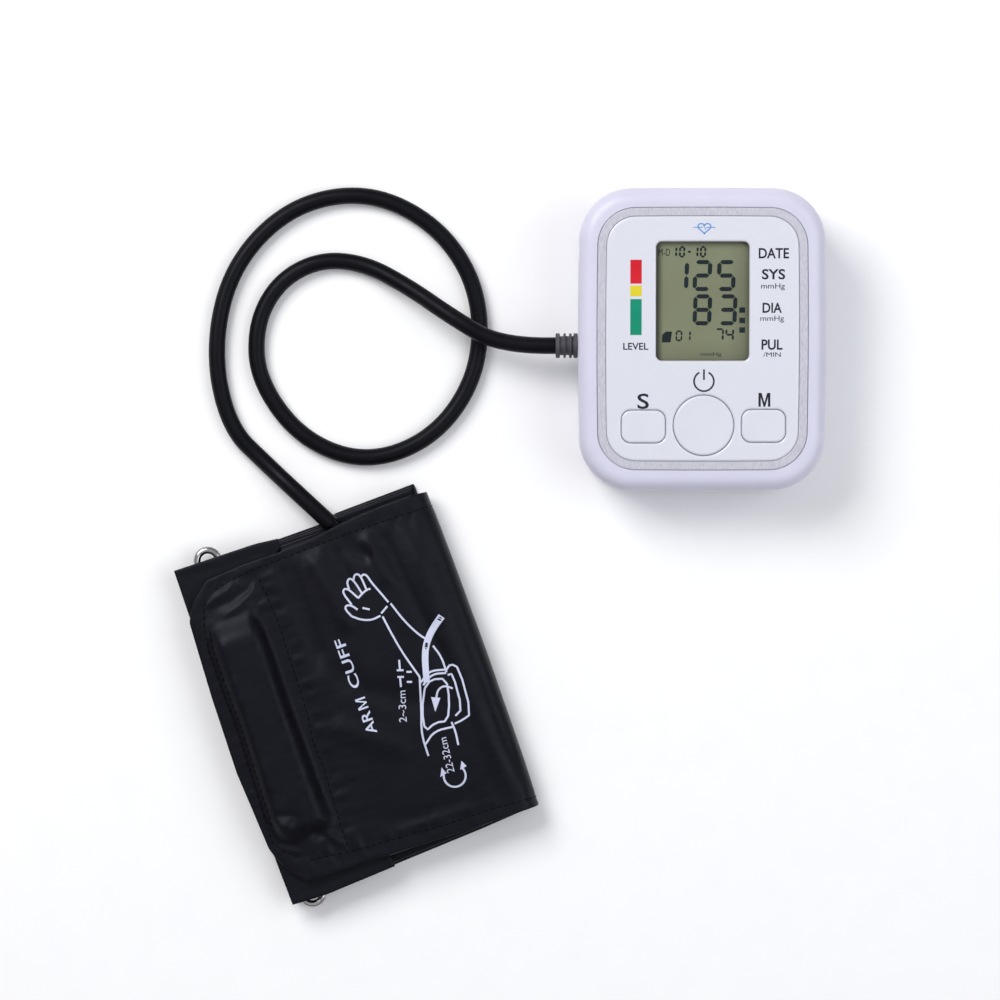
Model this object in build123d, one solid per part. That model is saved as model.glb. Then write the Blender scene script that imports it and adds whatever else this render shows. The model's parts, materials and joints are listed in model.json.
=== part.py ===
"""Upper arm blood pressure monitor: desk unit, air hose and rolled-up cuff.

Millimetres, +Z up. The origin is the middle of the unit's flat base, on the
surface that everything lies on. +X is to the right of a reader and +Y is
away from them, towards the top of the display. The unit's front face leans
towards the reader, and the cuff lies flat, turned about +Z.
"""
from build123d import *
from math import cos, radians, sin, tan
import os

os.makedirs("parts", exist_ok=True)

# --- Casing ---------------------------------------------------------------
CASE_WIDTH = 103.0
CASE_LENGTH = 125.4
CASE_CORNER = 22.0
SIDE_BULGE = 1.0            # how far the long sides bow out of straight
END_BULGE = 0.4             # the same for the two short sides
FACE_HEIGHT = 40.0          # rim of the face above the base, at the middle
FACE_TILT = 4.5             # lean of the face towards the reader, degrees
PARTING_HEIGHT = 24.0       # joint between the rear and the front casing
WALL = 2.0
REAR_STEP = 0.35            # the rear casing is this much smaller all round
SHOULDER_RADIUS = 6.0
BASE_RADIUS = 6.0
LIP_HEIGHT = 1.5
LIP_INSET = 1.15
LIP_CLEARANCE = 0.15

# --- Face panel, depths are measured down from the rim ------------------------
PANEL_WIDTH = 88.0
PANEL_LENGTH = 109.5
PANEL_CORNER = 16.0
PANEL_BULGE = 0.6
PANEL_RECESS = 1.0
PANEL_THICKNESS = 0.8
PANEL_GAP = 0.3
PLATE_ROUNDING = 0.6        # on the upper edges of the plate and of the border
BORDER_ROUNDING = 0.25
BORDER_WIDTH = 3.4
FLOOR_DEPTH = PANEL_RECESS + WALL

WINDOW_WIDTH = 38.6
WINDOW_LENGTH = 49.4
WINDOW_CORNER = 2.5
WINDOW_Y = 15.6
LENS_MARGIN = 1.5
LENS_THICKNESS = 0.8
LCD_DEPTH = 3.2
LCD_WIDTH = 46.0
LCD_LENGTH = 57.0
LCD_THICKNESS = 2.8
BOARD_DEPTH = 10.0
BOARD_WIDTH = 80.0
BOARD_LENGTH = 104.0
BOARD_THICKNESS = 1.6

# --- Buttons ------------------------------------------------------------------
START_DIAMETER = 25.0
START_PLACE = (0.5, -36.0)
SIDE_BUTTON = (18.2, 13.5, 4.0)     # width, length, corner
SET_PLACE = (-24.5, -36.5)
MEMORY_PLACE = (25.4, -36.2)
BUTTON_GAP = 0.2
BUTTON_PROUD = 0.1
BUTTON_ROUNDING = 0.9
BUTTON_TRAVEL = 0.8
FLANGE_MARGIN = 1.4
STEM_DEPTH = 5.3
SWITCH_DEPTH = STEM_DEPTH + BUTTON_TRAVEL + 0.1

# --- Battery compartment --------------------------------------------------------
TRAY_HALF_WIDTH = 23.0
TRAY_Y = (-54.0, -5.0)
TRAY_HEIGHT = 13.4
TRAY_WALL = 1.5
COVER_THICKNESS = 1.6
COVER_MARGIN = 2.0
COVER_GAP = 0.2
CELL_DIAMETER = 10.5
CELL_LENGTH = 43.7
CELL_NUB = 0.8
CELL_PITCH = 10.9
CELL_COUNT = 4
CELL_XS = [(i - (CELL_COUNT - 1) / 2) * CELL_PITCH for i in range(CELL_COUNT)]
CELL_HEIGHT = COVER_THICKNESS + 0.4 + CELL_DIAMETER / 2
CELL_MIDDLE = sum(TRAY_Y) / 2

SCREW_PLACES = [(x, y) for x in (-39.0, 39.0) for y in (-50.0, 50.0)]
SCREW_SEAT = 14.0
SCREW_HEAD = 5.0
SCREW_SHANK = 2.6
SCREW_REACH = 7.0           # how far the screws run into the front casing
BOSS_DIAMETER = 7.0
FOOT_DIAMETER = 9.0
FOOT_THICKNESS = 1.0
FOOT_PLACES = [(x, y) for x in (-33.0, 33.0) for y in (-36.0, 36.0)]

# --- Air line -------------------------------------------------------------------
PORT_Y = -2.2
PORT_HEIGHT = 18.0
SOCKET_BORE = 4.1
SOCKET_DIAMETER = 9.0
SOCKET_LENGTH = 10.0
NOZZLE_DIAMETER = 4.0
TUBE_OUTER = 6.0
TUBE_INNER = 4.1
STUB_DIAMETER = 3.9
PLUG_START = -51.5
PLUG_END = -60.75
PLUG_DIAMETER = 10.4
HOSE_DIAMETER = 7.0
PUMP_PLACE = (-8.0, 43.0, 16.5)     # where the motor meets the pump head
PUMP_DIAMETER = 27.0
PUMP_HEAD_LENGTH = 22.0
MOTOR_DIAMETER = 24.0
MOTOR_LENGTH = 30.0
MANIFOLD = (-22.0, PORT_Y, PORT_HEIGHT)
SENSOR_REACH = 18.0         # from the manifold to the pressure sensor

# The hose's route: out of the plug, over its own loop, once round the inner
# loop, once round the outer one, and down into the cuff.
CUFF_LEVEL = 9.4
PORT_LENGTH = 16.0
HOSE_ON_TABLE = HOSE_DIAMETER / 2
HOSE_ROUTE = [
    (PLUG_END, PORT_Y, PORT_HEIGHT),
    (-83.5, -2.6, 18.0),
    (-104.5, 10.0, 18.0),
    (-122.0, 22.5, 9.0),
    (-141.0, 33.0, HOSE_ON_TABLE),
    (-160.5, 34.5, HOSE_ON_TABLE),
    (-177.5, 25.0, HOSE_ON_TABLE),
    (-187.0, 7.0, HOSE_ON_TABLE),
    (-186.0, -16.5, HOSE_ON_TABLE),
    (-167.5, -41.5, HOSE_ON_TABLE),
    (-139.5, -51.5, HOSE_ON_TABLE),
    (-110.5, -40.0, HOSE_ON_TABLE),
    (-92.6, -12.5, HOSE_ON_TABLE),
    (-92.6, 21.5, HOSE_ON_TABLE),
    (-109.5, 48.5, HOSE_ON_TABLE),
    (-139.0, 63.5, HOSE_ON_TABLE),
    (-172.0, 57.5, HOSE_ON_TABLE),
    (-197.0, 32.0, HOSE_ON_TABLE),
    (-205.0, -3.0, HOSE_ON_TABLE),
    (-198.5, -36.0, HOSE_ON_TABLE),
    (-182.0, -52.0, HOSE_ON_TABLE),
    (-169.0, -64.0, CUFF_LEVEL),
    (-157.0, -75.0, CUFF_LEVEL),
]

# --- Cuff, in its own frame: u along the band, w across it ------------------------
CUFF_PLACE = Location((-143.2, -147.6, 0.0), (0, 0, 19.7))
BAND_THICKNESS = 2.6
BAND_FOLD_U = -53.0         # centre of the fold at the left
BAND_OUTLINE = [(-56, 74.5), (52, 75), (56.5, 70), (56.5, -70), (-40, -75.5), (-56.5, -74.5)]
LAYER_GAP = 0.3
POCKET_Z = 2 * BAND_THICKNESS + 2 * LAYER_GAP
POCKET_THICKNESS = 7.2
POCKET_TOP = POCKET_Z + POCKET_THICKNESS
POCKET_SKIN = 1.0
POCKET_LEFT = -50.0
POCKET_HALF_WIDTH = 69.0
CAVITY = ((-23.0, -61.0), (41.0, 57.0))
BLADDER_GAP = 0.2           # between the bladder and its cavity
PORT_SLOT = ((9.0, 56.0), (26.0, 72.0))
MARGIN_THICKNESS = 1.2      # of the pocket's cloth where it runs out over the ring
MARGIN_OUTLINE = [(-56.5, -74.6), (-41.7, -75.4), (-10, -73.8), (-10, 72.4), (-20, 73.6), (-56, 74.4)]
LOOP_THICKNESS = 0.6
LOOP_OUTLINE = [(-24, -62), (40, -62), (40, 62), (-24, 62)]
HOOK_THICKNESS = 1.0
HOOK_OUTLINE = [(-52, -58), (-24, -58), (-24, 58), (-52, 58)]
FLAP_Z = POCKET_TOP + 2.0
FLAP_THICKNESS = 2.4
FLAP_HALF_WIDTH = 70.0
FOLD_U = 47.35              # axis that the top flap opens about
FOLD_Z = (BAND_THICKNESS / 2 + FLAP_Z + FLAP_THICKNESS / 2) / 2
FOLD_RADIUS = FOLD_Z - BAND_THICKNESS / 2
CURL_ANGLE = 52.0           # how far the lowest layer curls up into the fold
FLAP_OUTLINE = [(FOLD_U, FLAP_HALF_WIDTH), (-44, 66), (-57, 52), (-58.5, 0), (-57.5, -51), (-47, -67.5),
                (FOLD_U, -FLAP_HALF_WIDTH)]

RING_LEVEL = 7.9
RING_PLACE = Location((-184.8, -162.2, RING_LEVEL), (0, 0, 17.5))
RING_LENGTH = 158.5
RING_WIDTH = 12.0
RING_WIRE = 3.0
RING_BAR = (RING_WIDTH - RING_WIRE) / 2
RING_BORE = RING_WIRE + 0.5
STRAP_LENGTH = 120.0        # the cloth loop that holds the ring
STRAP_BELOW = 2.1           # its reach under the bar's middle, and over it
STRAP_ABOVE = 3.2
STRAP_END = 9.5

FACE = Location((0, 0, FACE_HEIGHT), (FACE_TILT, 0, 0))
FACE_AXIS = Axis((0, 0, FACE_HEIGHT), (0, -sin(radians(FACE_TILT)), cos(radians(FACE_TILT))))


# --- Helpers ----------------------------------------------------------------------
def save(name, *shapes):
    """Write one sub-part, a single solid or a group of separate ones."""
    solids = [solid for shape in shapes for solid in shape.solids()]
    export_step(solids[0] if len(solids) == 1 else Compound(solids), f"parts/{name}.step")


def box_between(low, high):
    """A box from its lowest corner to its highest."""
    size = [b - a for a, b in zip(low, high)]
    return Pos(*low) * Box(*size, align=(Align.MIN, Align.MIN, Align.MIN))


def column(x, y, low, high, diameter):
    """An upright cylinder."""
    return Pos(x, y, low) * Cylinder(
        diameter / 2, high - low, align=(Align.CENTER, Align.CENTER, Align.MIN)
    )


def rod_x(x_low, x_high, y, z, diameter):
    """A cylinder along X."""
    return Pos((x_low + x_high) / 2, y, z) * Rot(0, 90, 0) * Cylinder(diameter / 2, x_high - x_low)


def rod_y(x, y_low, y_high, z, diameter):
    """A cylinder along Y."""
    return Pos(x, (y_low + y_high) / 2, z) * Rot(90, 0, 0) * Cylinder(diameter / 2, y_high - y_low)


def bulged(width, length, corner, side_bulge, end_bulge):
    """A rounded rectangle whose sides are shallow arcs."""
    x = width / 2 - side_bulge
    y = length / 2 - end_bulge
    sides = [
        ThreePointArc((-x, -y), (0, -y - end_bulge), (x, -y)),
        ThreePointArc((x, -y), (x + side_bulge, 0), (x, y)),
        ThreePointArc((x, y), (0, y + end_bulge), (-x, y)),
        ThreePointArc((-x, y), (-x - side_bulge, 0), (-x, -y)),
    ]
    outline = make_face(sides)
    return fillet(outline.vertices(), corner)


def casing_outline(inset=0.0):
    """The unit's plan outline, moved in by the inset."""
    return bulged(
        CASE_WIDTH - 2 * inset, CASE_LENGTH - 2 * inset, CASE_CORNER - inset, SIDE_BULGE, END_BULGE
    )


def panel_outline(inset=0.0):
    """The face panel's outline, moved in by the inset."""
    return bulged(
        PANEL_WIDTH - 2 * inset,
        PANEL_LENGTH - 2 * inset,
        PANEL_CORNER - inset,
        PANEL_BULGE,
        PANEL_BULGE / 2,
    )


def on_face(sketch, top, bottom, place=(0.0, 0.0)):
    """A slab parallel to the tilted face, between two depths under the rim."""
    return FACE * Pos(*place, -bottom) * extrude(sketch, bottom - top)


def below_face(shape, depth):
    """What is left of a shape under the plane at a depth below the face."""
    plane = Plane(FACE * Pos(0, 0, -depth))
    return split(shape, bisect_by=plane, keep=Keep.BOTTOM)


def window_shape(margin=0.0):
    """The display window's outline, grown by the margin."""
    return RectangleRounded(
        WINDOW_WIDTH + 2 * margin, WINDOW_LENGTH + 2 * margin, WINDOW_CORNER + margin
    )


def side_button_shape(margin=0.0):
    """The outline of the two small buttons, grown by the margin."""
    width, length, corner = SIDE_BUTTON
    return RectangleRounded(width + 2 * margin, length + 2 * margin, corner + margin)


def start_button_shape(margin=0.0):
    """The outline of the round button, grown by the margin."""
    return Circle(START_DIAMETER / 2 + margin)


BUTTONS = {
    "start_button": (start_button_shape, START_PLACE),
    "set_button": (side_button_shape, SET_PLACE),
    "memory_button": (side_button_shape, MEMORY_PLACE),
}


# --- Casings and face -----------------------------------------------------------------
def prism(outline, low, high):
    """An outline run straight up between two heights."""
    return extrude(Pos(0, 0, low) * outline, high - low)


def tub(inset, low, radius):
    """A body with the rear casing's outline and a rounded lower edge."""
    body = prism(casing_outline(REAR_STEP + inset), low, PARTING_HEIGHT)
    return fillet(body.edges().group_by(Axis.Z)[0], radius)


def rear_casing():
    """Deep tub with the battery tray, the screw posts and the air port."""
    shell = tub(0, 0, BASE_RADIUS) - tub(WALL, WALL, BASE_RADIUS - WALL)
    lip = prism(casing_outline(LIP_INSET), PARTING_HEIGHT - 1, PARTING_HEIGHT + LIP_HEIGHT)
    lip -= prism(casing_outline(REAR_STEP + WALL), PARTING_HEIGHT - 1, PARTING_HEIGHT + LIP_HEIGHT)
    shell += lip
    half = TRAY_HALF_WIDTH
    y0, y1 = TRAY_Y
    shell += box_between(
        (-half - TRAY_WALL, y0 - TRAY_WALL, 0), (half + TRAY_WALL, y1 + TRAY_WALL, TRAY_HEIGHT + TRAY_WALL)
    )
    shell -= box_between((-half, y0, 0), (half, y1, TRAY_HEIGHT))
    margin = COVER_MARGIN + COVER_GAP
    shell -= box_between(
        (-half - margin, y0 - margin, 0), (half + margin, y1 + margin, COVER_THICKNESS + COVER_GAP / 2)
    )
    for x, y in SCREW_PLACES:
        shell += column(x, y, WALL / 2, PARTING_HEIGHT, BOSS_DIAMETER)
        shell -= column(x, y, 0, SCREW_SEAT, SCREW_HEAD + 0.6)
        shell -= column(x, y, 0, PARTING_HEIGHT, SCREW_SHANK + 0.4)
    shell -= rod_x(-CASE_WIDTH / 2, -CASE_WIDTH / 2 + 2 * WALL, PORT_Y, PORT_HEIGHT, SOCKET_DIAMETER + 0.2)
    for x, y in FOOT_PLACES:
        shell -= column(x, y, 0, FOOT_THICKNESS, FOOT_DIAMETER)
    return shell


def front_casing():
    """Upper shell: rounded rim, sunken floor for the panel, and screw posts."""
    shell = below_face(prism(casing_outline(), PARTING_HEIGHT, 2 * FACE_HEIGHT), 0)
    top_face = shell.faces().sort_by(Axis.Z)[-1]
    shell = fillet(top_face.outer_wire().edges(), SHOULDER_RADIUS)
    shell -= below_face(prism(casing_outline(WALL), PARTING_HEIGHT, 2 * FACE_HEIGHT), FLOOR_DEPTH)
    rebate = casing_outline(LIP_INSET - LIP_CLEARANCE)
    shell -= prism(rebate, PARTING_HEIGHT, PARTING_HEIGHT + LIP_HEIGHT + LIP_CLEARANCE)
    for x, y in SCREW_PLACES:
        post = column(x, y, PARTING_HEIGHT + 0.2, FACE_HEIGHT + 10, BOSS_DIAMETER)
        shell += below_face(post, FLOOR_DEPTH - WALL / 2)
        shell -= column(x, y, PARTING_HEIGHT, PARTING_HEIGHT + SCREW_REACH + 0.5, SCREW_SHANK + 0.1)
    shell -= on_face(panel_outline(), -1, PANEL_RECESS)
    shell -= on_face(window_shape(), 0, FLOOR_DEPTH + 1, (0, WINDOW_Y))
    shell -= on_face(
        window_shape(LENS_MARGIN + 0.2), FLOOR_DEPTH - PANEL_RECESS, FLOOR_DEPTH + 1, (0, WINDOW_Y)
    )
    for outline, place in BUTTONS.values():
        shell -= on_face(outline(BUTTON_GAP), 0, FLOOR_DEPTH + 1, place)
    return shell


def rounded_top(plate, radius):
    """A plate of the face with every edge of its upper side rounded."""
    return fillet(plate.faces().sort_by(FACE_AXIS)[-1].edges(), radius)


def face_border():
    """Brushed metal ring round the panel."""
    top = PANEL_RECESS - PANEL_THICKNESS
    ring = on_face(panel_outline(PANEL_GAP), top, PANEL_RECESS)
    ring -= on_face(panel_outline(PANEL_GAP + BORDER_WIDTH), top, PANEL_RECESS)
    return rounded_top(ring, BORDER_ROUNDING)


def face_plate():
    """Panel inside the border, with its window and button holes."""
    top = PANEL_RECESS - PANEL_THICKNESS
    plate = on_face(panel_outline(PANEL_GAP + BORDER_WIDTH + 0.1), top, PANEL_RECESS)
    plate -= on_face(window_shape(), 0, PANEL_RECESS, (0, WINDOW_Y))
    for outline, place in BUTTONS.values():
        plate -= on_face(outline(BUTTON_GAP), 0, PANEL_RECESS, place)
    return rounded_top(plate, PLATE_ROUNDING)


def display_window():
    """Clear lens, glued into the rebate under the casing's floor."""
    top = FLOOR_DEPTH - PANEL_RECESS
    return on_face(window_shape(LENS_MARGIN), top, top + LENS_THICKNESS, (0, WINDOW_Y))


def lcd_glass():
    """The liquid crystal cell, under the lens."""
    return on_face(
        RectangleRounded(LCD_WIDTH, LCD_LENGTH, 0.5), LCD_DEPTH, LCD_DEPTH + LCD_THICKNESS, (0, WINDOW_Y)
    )


def lcd_backlight():
    """White light guide behind the cell."""
    outline = RectangleRounded(LCD_WIDTH - 1, LCD_LENGTH - 1, 0.5)
    return on_face(outline, LCD_DEPTH + LCD_THICKNESS, BOARD_DEPTH - 0.5, (0, WINDOW_Y))


def lcd_holder():
    """Frame that holds the cell on the board."""
    outer = on_face(RectangleRounded(LCD_WIDTH + 6, LCD_LENGTH + 6, 2), 3.1, BOARD_DEPTH, (0, WINDOW_Y))
    inner = on_face(RectangleRounded(LCD_WIDTH + 0.4, LCD_LENGTH + 0.4, 0.6), 3, BOARD_DEPTH, (0, WINDOW_Y))
    return outer - inner


def button(outline, place):
    """Key cap with a flange under the casing and a stem down to its switch."""
    cap = rounded_top(on_face(outline(), -BUTTON_PROUD, FLOOR_DEPTH + 0.15, place), BUTTON_ROUNDING)
    cap += on_face(outline(FLANGE_MARGIN), FLOOR_DEPTH + 0.15, FLOOR_DEPTH + 1.2, place)
    return cap + on_face(Circle(2), FLOOR_DEPTH + 1.2, STEM_DEPTH, place)


# --- Electronics ------------------------------------------------------------------------
def main_board():
    """Circuit board, notched round the four screw posts."""
    outline = RectangleRounded(BOARD_WIDTH, BOARD_LENGTH, 6)
    board = on_face(outline, BOARD_DEPTH, BOARD_DEPTH + BOARD_THICKNESS)
    for x, y in SCREW_PLACES:
        board -= column(x, y, 0, FACE_HEIGHT + 10, BOSS_DIAMETER + 2)
    return board


def tact_switches():
    """One push switch under each button."""
    switches = []
    for _, place in BUTTONS.values():
        body = on_face(RectangleRounded(6, 6, 0.5), SWITCH_DEPTH + 0.8, BOARD_DEPTH, place)
        switches.append(body + on_face(Circle(1.6), SWITCH_DEPTH, SWITCH_DEPTH + 0.8, place))
    return switches


def under_board(sketch, height, place):
    """A component on the board's underside."""
    top = BOARD_DEPTH + BOARD_THICKNESS
    return on_face(sketch, top, top + height, place)


def board_parts():
    """Small components: crystal can, memory chip and a row of capacitors."""
    parts = [under_board(RectangleRounded(11, 4.5, 2.2), 3.5, (20, 12))]
    parts.append(under_board(Rectangle(5, 4), 1.5, (24, 20)))
    parts += [under_board(Circle(2.5), 6, (x, -14)) for x in (2, 9)]
    return parts


def pressure_sensor():
    """Sensor can on the board, its nozzle pointing down at the manifold's tube."""
    x, y = MANIFOLD[0], MANIFOLD[1] - SENSOR_REACH
    can = under_board(RectangleRounded(10, 10, 1), 3.6, (x, y))
    return can + column(x, y, MANIFOLD[2] + 3.2, MANIFOLD[2] + 6, STUB_DIAMETER)


# --- Air circuit inside the unit -------------------------------------------------------------
def pump_motor():
    """Can of the direct-current motor, with its shaft end."""
    x, y, z = PUMP_PLACE
    can = rod_x(x, x + MOTOR_LENGTH, y, z, MOTOR_DIAMETER)
    can = chamfer(can.faces().sort_by(Axis.X)[-1].edges(), 1.0)
    return can + rod_x(x + MOTOR_LENGTH, x + MOTOR_LENGTH + 2, y, z, 8)


def pump_head():
    """Diaphragm head with its outlet stub towards the manifold."""
    x, y, z = PUMP_PLACE
    head = rod_x(x - PUMP_HEAD_LENGTH, x, y, z, PUMP_DIAMETER)
    head = chamfer(head.faces().sort_by(Axis.X)[0].edges(), 1.5)
    return head + rod_y(MANIFOLD[0], y - PUMP_DIAMETER / 2 - 5, y - 5, MANIFOLD[2], STUB_DIAMETER)


def exhaust_valve():
    """Solenoid valve that lets the cuff's air out."""
    x, y, z = MANIFOLD
    body = box_between((6, y - 5.5, z - 2.8), (25, y + 5.5, z + 8))
    body = fillet(body.edges().filter_by(Axis.X), 1.0)
    return body + rod_x(1, 6, y, z, STUB_DIAMETER)


def air_manifold():
    """Cross-shaped block that joins the pump, valve, sensor and socket."""
    x, y, z = MANIFOLD
    block = box_between((x - 5, y - 5, z - 2.9), (x + 5, y + 5, z + 3.1))
    block = fillet(block.edges().filter_by(Axis.Z), 1.5)
    block += rod_x(x - 9, x + 9, y, z, STUB_DIAMETER)
    return block + rod_y(x, y - 9, y + 9, z, STUB_DIAMETER)


def soft_tube(points, radius):
    """A length of silicone tube along straight runs joined by one arc size."""
    path = Polyline(*points) if len(points) == 2 else FilletPolyline(*points, radius=radius)
    start = Plane(origin=path @ 0, z_dir=path % 0)
    return sweep(start * Circle(TUBE_OUTER / 2), path=path) - sweep(
        start * Circle(TUBE_INNER / 2), path=path
    )


def inner_tubes():
    """The four silicone tubes of the air circuit."""
    x, y, z = MANIFOLD
    pump_y = PUMP_PLACE[1] - PUMP_DIAMETER / 2
    return [
        soft_tube([(x - 5.1, y, z), (x - 14.9, y, z)], 0),
        soft_tube([(x + 5.1, y, z), (5.9, y, z)], 0),
        soft_tube([(x, y + 5.1, z), (x, pump_y - 0.6, z)], 0),
        soft_tube([(x, y - 5.1, z), (x, y - SENSOR_REACH, z), (x, y - SENSOR_REACH, z + 4.4)], 4.0),
    ]


def air_socket():
    """Bushing in the left wall that the hose's plug pushes into."""
    y, z = PORT_Y, PORT_HEIGHT
    outside = -CASE_WIDTH / 2 + REAR_STEP + 0.1
    inside = outside + WALL
    socket = rod_x(outside, outside + SOCKET_LENGTH, y, z, SOCKET_DIAMETER)
    socket += rod_x(inside, inside + 1.5, y, z, SOCKET_DIAMETER + 2.4)
    tail = MANIFOLD[0] - 10
    socket += rod_x(outside + SOCKET_LENGTH, tail, y, z, STUB_DIAMETER)
    socket -= rod_x(outside, outside + SOCKET_LENGTH - 1, y, z, SOCKET_BORE)
    return socket - rod_x(outside, tail, y, z, 2.0)


# --- Batteries ------------------------------------------------------------------------------------
def cell_sign(index):
    """Neighbouring cells point opposite ways: +1 has its nub towards +Y."""
    return 1 if index % 2 else -1


def batteries():
    """Four AAA cells, side by side."""
    cells = []
    for index, x in enumerate(CELL_XS):
        y0 = CELL_MIDDLE - CELL_LENGTH / 2
        cell = rod_y(x, y0, y0 + CELL_LENGTH, CELL_HEIGHT, CELL_DIAMETER)
        cell = fillet(cell.edges().filter_by(GeomType.CIRCLE), 0.5)
        nub = CELL_MIDDLE + cell_sign(index) * CELL_LENGTH / 2
        cell += rod_y(x, nub - CELL_NUB, nub + CELL_NUB, CELL_HEIGHT, 3.8)
        cells.append(cell)
    return cells


def battery_contacts():
    """Plates in front of the cells' ends, pressed out where a nub touches."""
    plates = []
    low, high = TRAY_Y
    for index, x in enumerate(CELL_XS):
        for side, wall in ((1, high), (-1, low)):
            ends = sorted((wall, wall - side * 0.4))
            plate = box_between((x - 4.2, ends[0], CELL_HEIGHT - 4), (x + 4.2, ends[1], CELL_HEIGHT + 4))
            if side == cell_sign(index):
                tip = CELL_MIDDLE + side * (CELL_LENGTH / 2 + CELL_NUB)
                plate += rod_y(x, *sorted((tip, wall - side * 0.2)), CELL_HEIGHT, 5)
            plates.append(plate)
    return plates


def battery_springs():
    """Cone springs against the cells' flat ends, drawn as thin cones."""
    springs = []
    for index, x in enumerate(CELL_XS):
        side = -cell_sign(index)
        wall = TRAY_Y[1] if side > 0 else TRAY_Y[0]
        start = wall - side * 0.4
        length = abs(start - (CELL_MIDDLE + side * CELL_LENGTH / 2))
        middle = start - side * length / 2
        cone = Cone(3.6, 2.2, length) - Cone(3.1, 1.7, length)
        springs.append(Pos(x, middle, CELL_HEIGHT) * Rot(90 * side, 0, 0) * cone)
    return springs


def battery_cover():
    """Cover plate with a finger notch, level with the base."""
    half = TRAY_HALF_WIDTH + COVER_MARGIN
    y0, y1 = TRAY_Y[0] - COVER_MARGIN, TRAY_Y[1] + COVER_MARGIN
    cover = box_between((-half, y0, 0), (half, y1, COVER_THICKNESS))
    cover = fillet(cover.edges().filter_by(Axis.Z), 1.0)
    cover -= box_between((-7, y0, -0.1), (7, y0 + 4, 0.7))
    for step in range(4):
        y = y0 + 7 + 2.5 * step
        cover -= box_between((-9, y, 0), (9, y + 1, 0.4))
    return cover


def case_screws():
    """Four cross-head screws up through the rear posts."""
    screws = []
    for x, y in SCREW_PLACES:
        screw = column(x, y, SCREW_SEAT - 2, SCREW_SEAT, SCREW_HEAD)
        screw += column(x, y, SCREW_SEAT, PARTING_HEIGHT + SCREW_REACH, SCREW_SHANK)
        for across, along in ((0.4, 1.6), (1.6, 0.4)):
            screw -= box_between(
                (x - across, y - along, SCREW_SEAT - 2), (x + across, y + along, SCREW_SEAT - 1)
            )
        screws.append(screw)
    return screws


# --- Hose and its ends ------------------------------------------------------------------------------
def plug_sleeve():
    """Ribbed rubber grip on the hose's plug."""
    ribs = [1.8, 1.1, 1.0, 1.8]
    pitch = (PLUG_START - PLUG_END - ribs[-1]) / (len(ribs) - 1)
    sleeve = rod_x(PLUG_END, PLUG_START, PORT_Y, PORT_HEIGHT, PLUG_DIAMETER - 2.4)
    for index, width in enumerate(ribs):
        x = PLUG_START - index * pitch
        rib = rod_x(x - width, x, PORT_Y, PORT_HEIGHT, PLUG_DIAMETER)
        sleeve += chamfer(rib.edges().filter_by(GeomType.CIRCLE), 0.3)
    sleeve -= rod_x(PLUG_END, PLUG_START - 1.8, PORT_Y, PORT_HEIGHT, 7.0)
    return sleeve - rod_x(PLUG_END, PLUG_START, PORT_Y, PORT_HEIGHT, NOZZLE_DIAMETER + 0.2)


def plug_nozzle():
    """Hard nozzle inside the grip, reaching into the unit's socket."""
    tip = PLUG_START + SOCKET_LENGTH - 1
    nozzle = rod_x(PLUG_END + 0.1, PLUG_START - 1.8, PORT_Y, PORT_HEIGHT, 6.9)
    nozzle += rod_x(PLUG_START - 1.8, tip, PORT_Y, PORT_HEIGHT, NOZZLE_DIAMETER)
    return nozzle - rod_x(PLUG_END, tip, PORT_Y, PORT_HEIGHT, 2.2)


def hose_radii():
    """The arc at each corner: 0.45 of the shorter run over the half turn's tangent."""
    points = [Vector(*p) for p in HOSE_ROUTE]
    radii = []
    for before, corner, after in zip(points, points[1:], points[2:]):
        shorter = min((corner - before).length, (after - corner).length)
        half_turn = radians((corner - before).get_angle(after - corner) / 2)
        radii.append(0.45 * shorter / tan(half_turn))
    return radii


def air_hose():
    """The hose, lying on the surface and once over itself."""
    path = FilletPolyline(*HOSE_ROUTE, radius=hose_radii())
    start = Plane(origin=path @ 0, z_dir=path % 0)
    return sweep(start * Circle(HOSE_DIAMETER / 2), path=path)


def hose_end():
    """Where the hose stops, pointing into the cuff."""
    before, last = Vector(*HOSE_ROUTE[-2]), Vector(*HOSE_ROUTE[-1])
    return Location(Plane(origin=last, z_dir=last - before))


def hose_port():
    """Port of the bladder: a collar against the hose and a pipe into the cuff."""
    grow = (Align.CENTER, Align.CENTER, Align.MIN)
    port = Cylinder(HOSE_DIAMETER / 2, 3, align=grow) + Cylinder(2.4, PORT_LENGTH, align=grow)
    port -= Cylinder(1.2, PORT_LENGTH, align=grow)
    return hose_end() * port


# --- Cuff ---------------------------------------------------------------------------------------------
def cuff_slab(outline, low, high, corner):
    """A flat layer with a rounded plan outline, in the cuff's frame."""
    sketch = make_face(Polyline(*outline, close=True))
    sketch = fillet(sketch.vertices(), corner)
    return extrude(Pos(0, 0, low) * sketch, high - low)


def fold_arc(first, last, thickness):
    """Part of the right-hand fold, between two angles about its axis."""
    ring = Circle(FOLD_RADIUS + thickness / 2) - Circle(FOLD_RADIUS - thickness / 2)
    reach = 100 * FOLD_RADIUS
    rays = [(reach * cos(radians(angle)), reach * sin(radians(angle))) for angle in (first, last)]
    wedge = make_face(Polyline((0, 0), *rays, close=True))
    return Pos(FOLD_U, FOLD_Z) * (ring & wedge)


def across_cuff(sketch, half_width):
    """A profile in the u-z plane, run across the band's width."""
    upright = Plane(origin=(0, half_width, 0), x_dir=(1, 0, 0), z_dir=(0, -1, 0))
    return extrude(upright * sketch, 2 * half_width)


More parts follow.
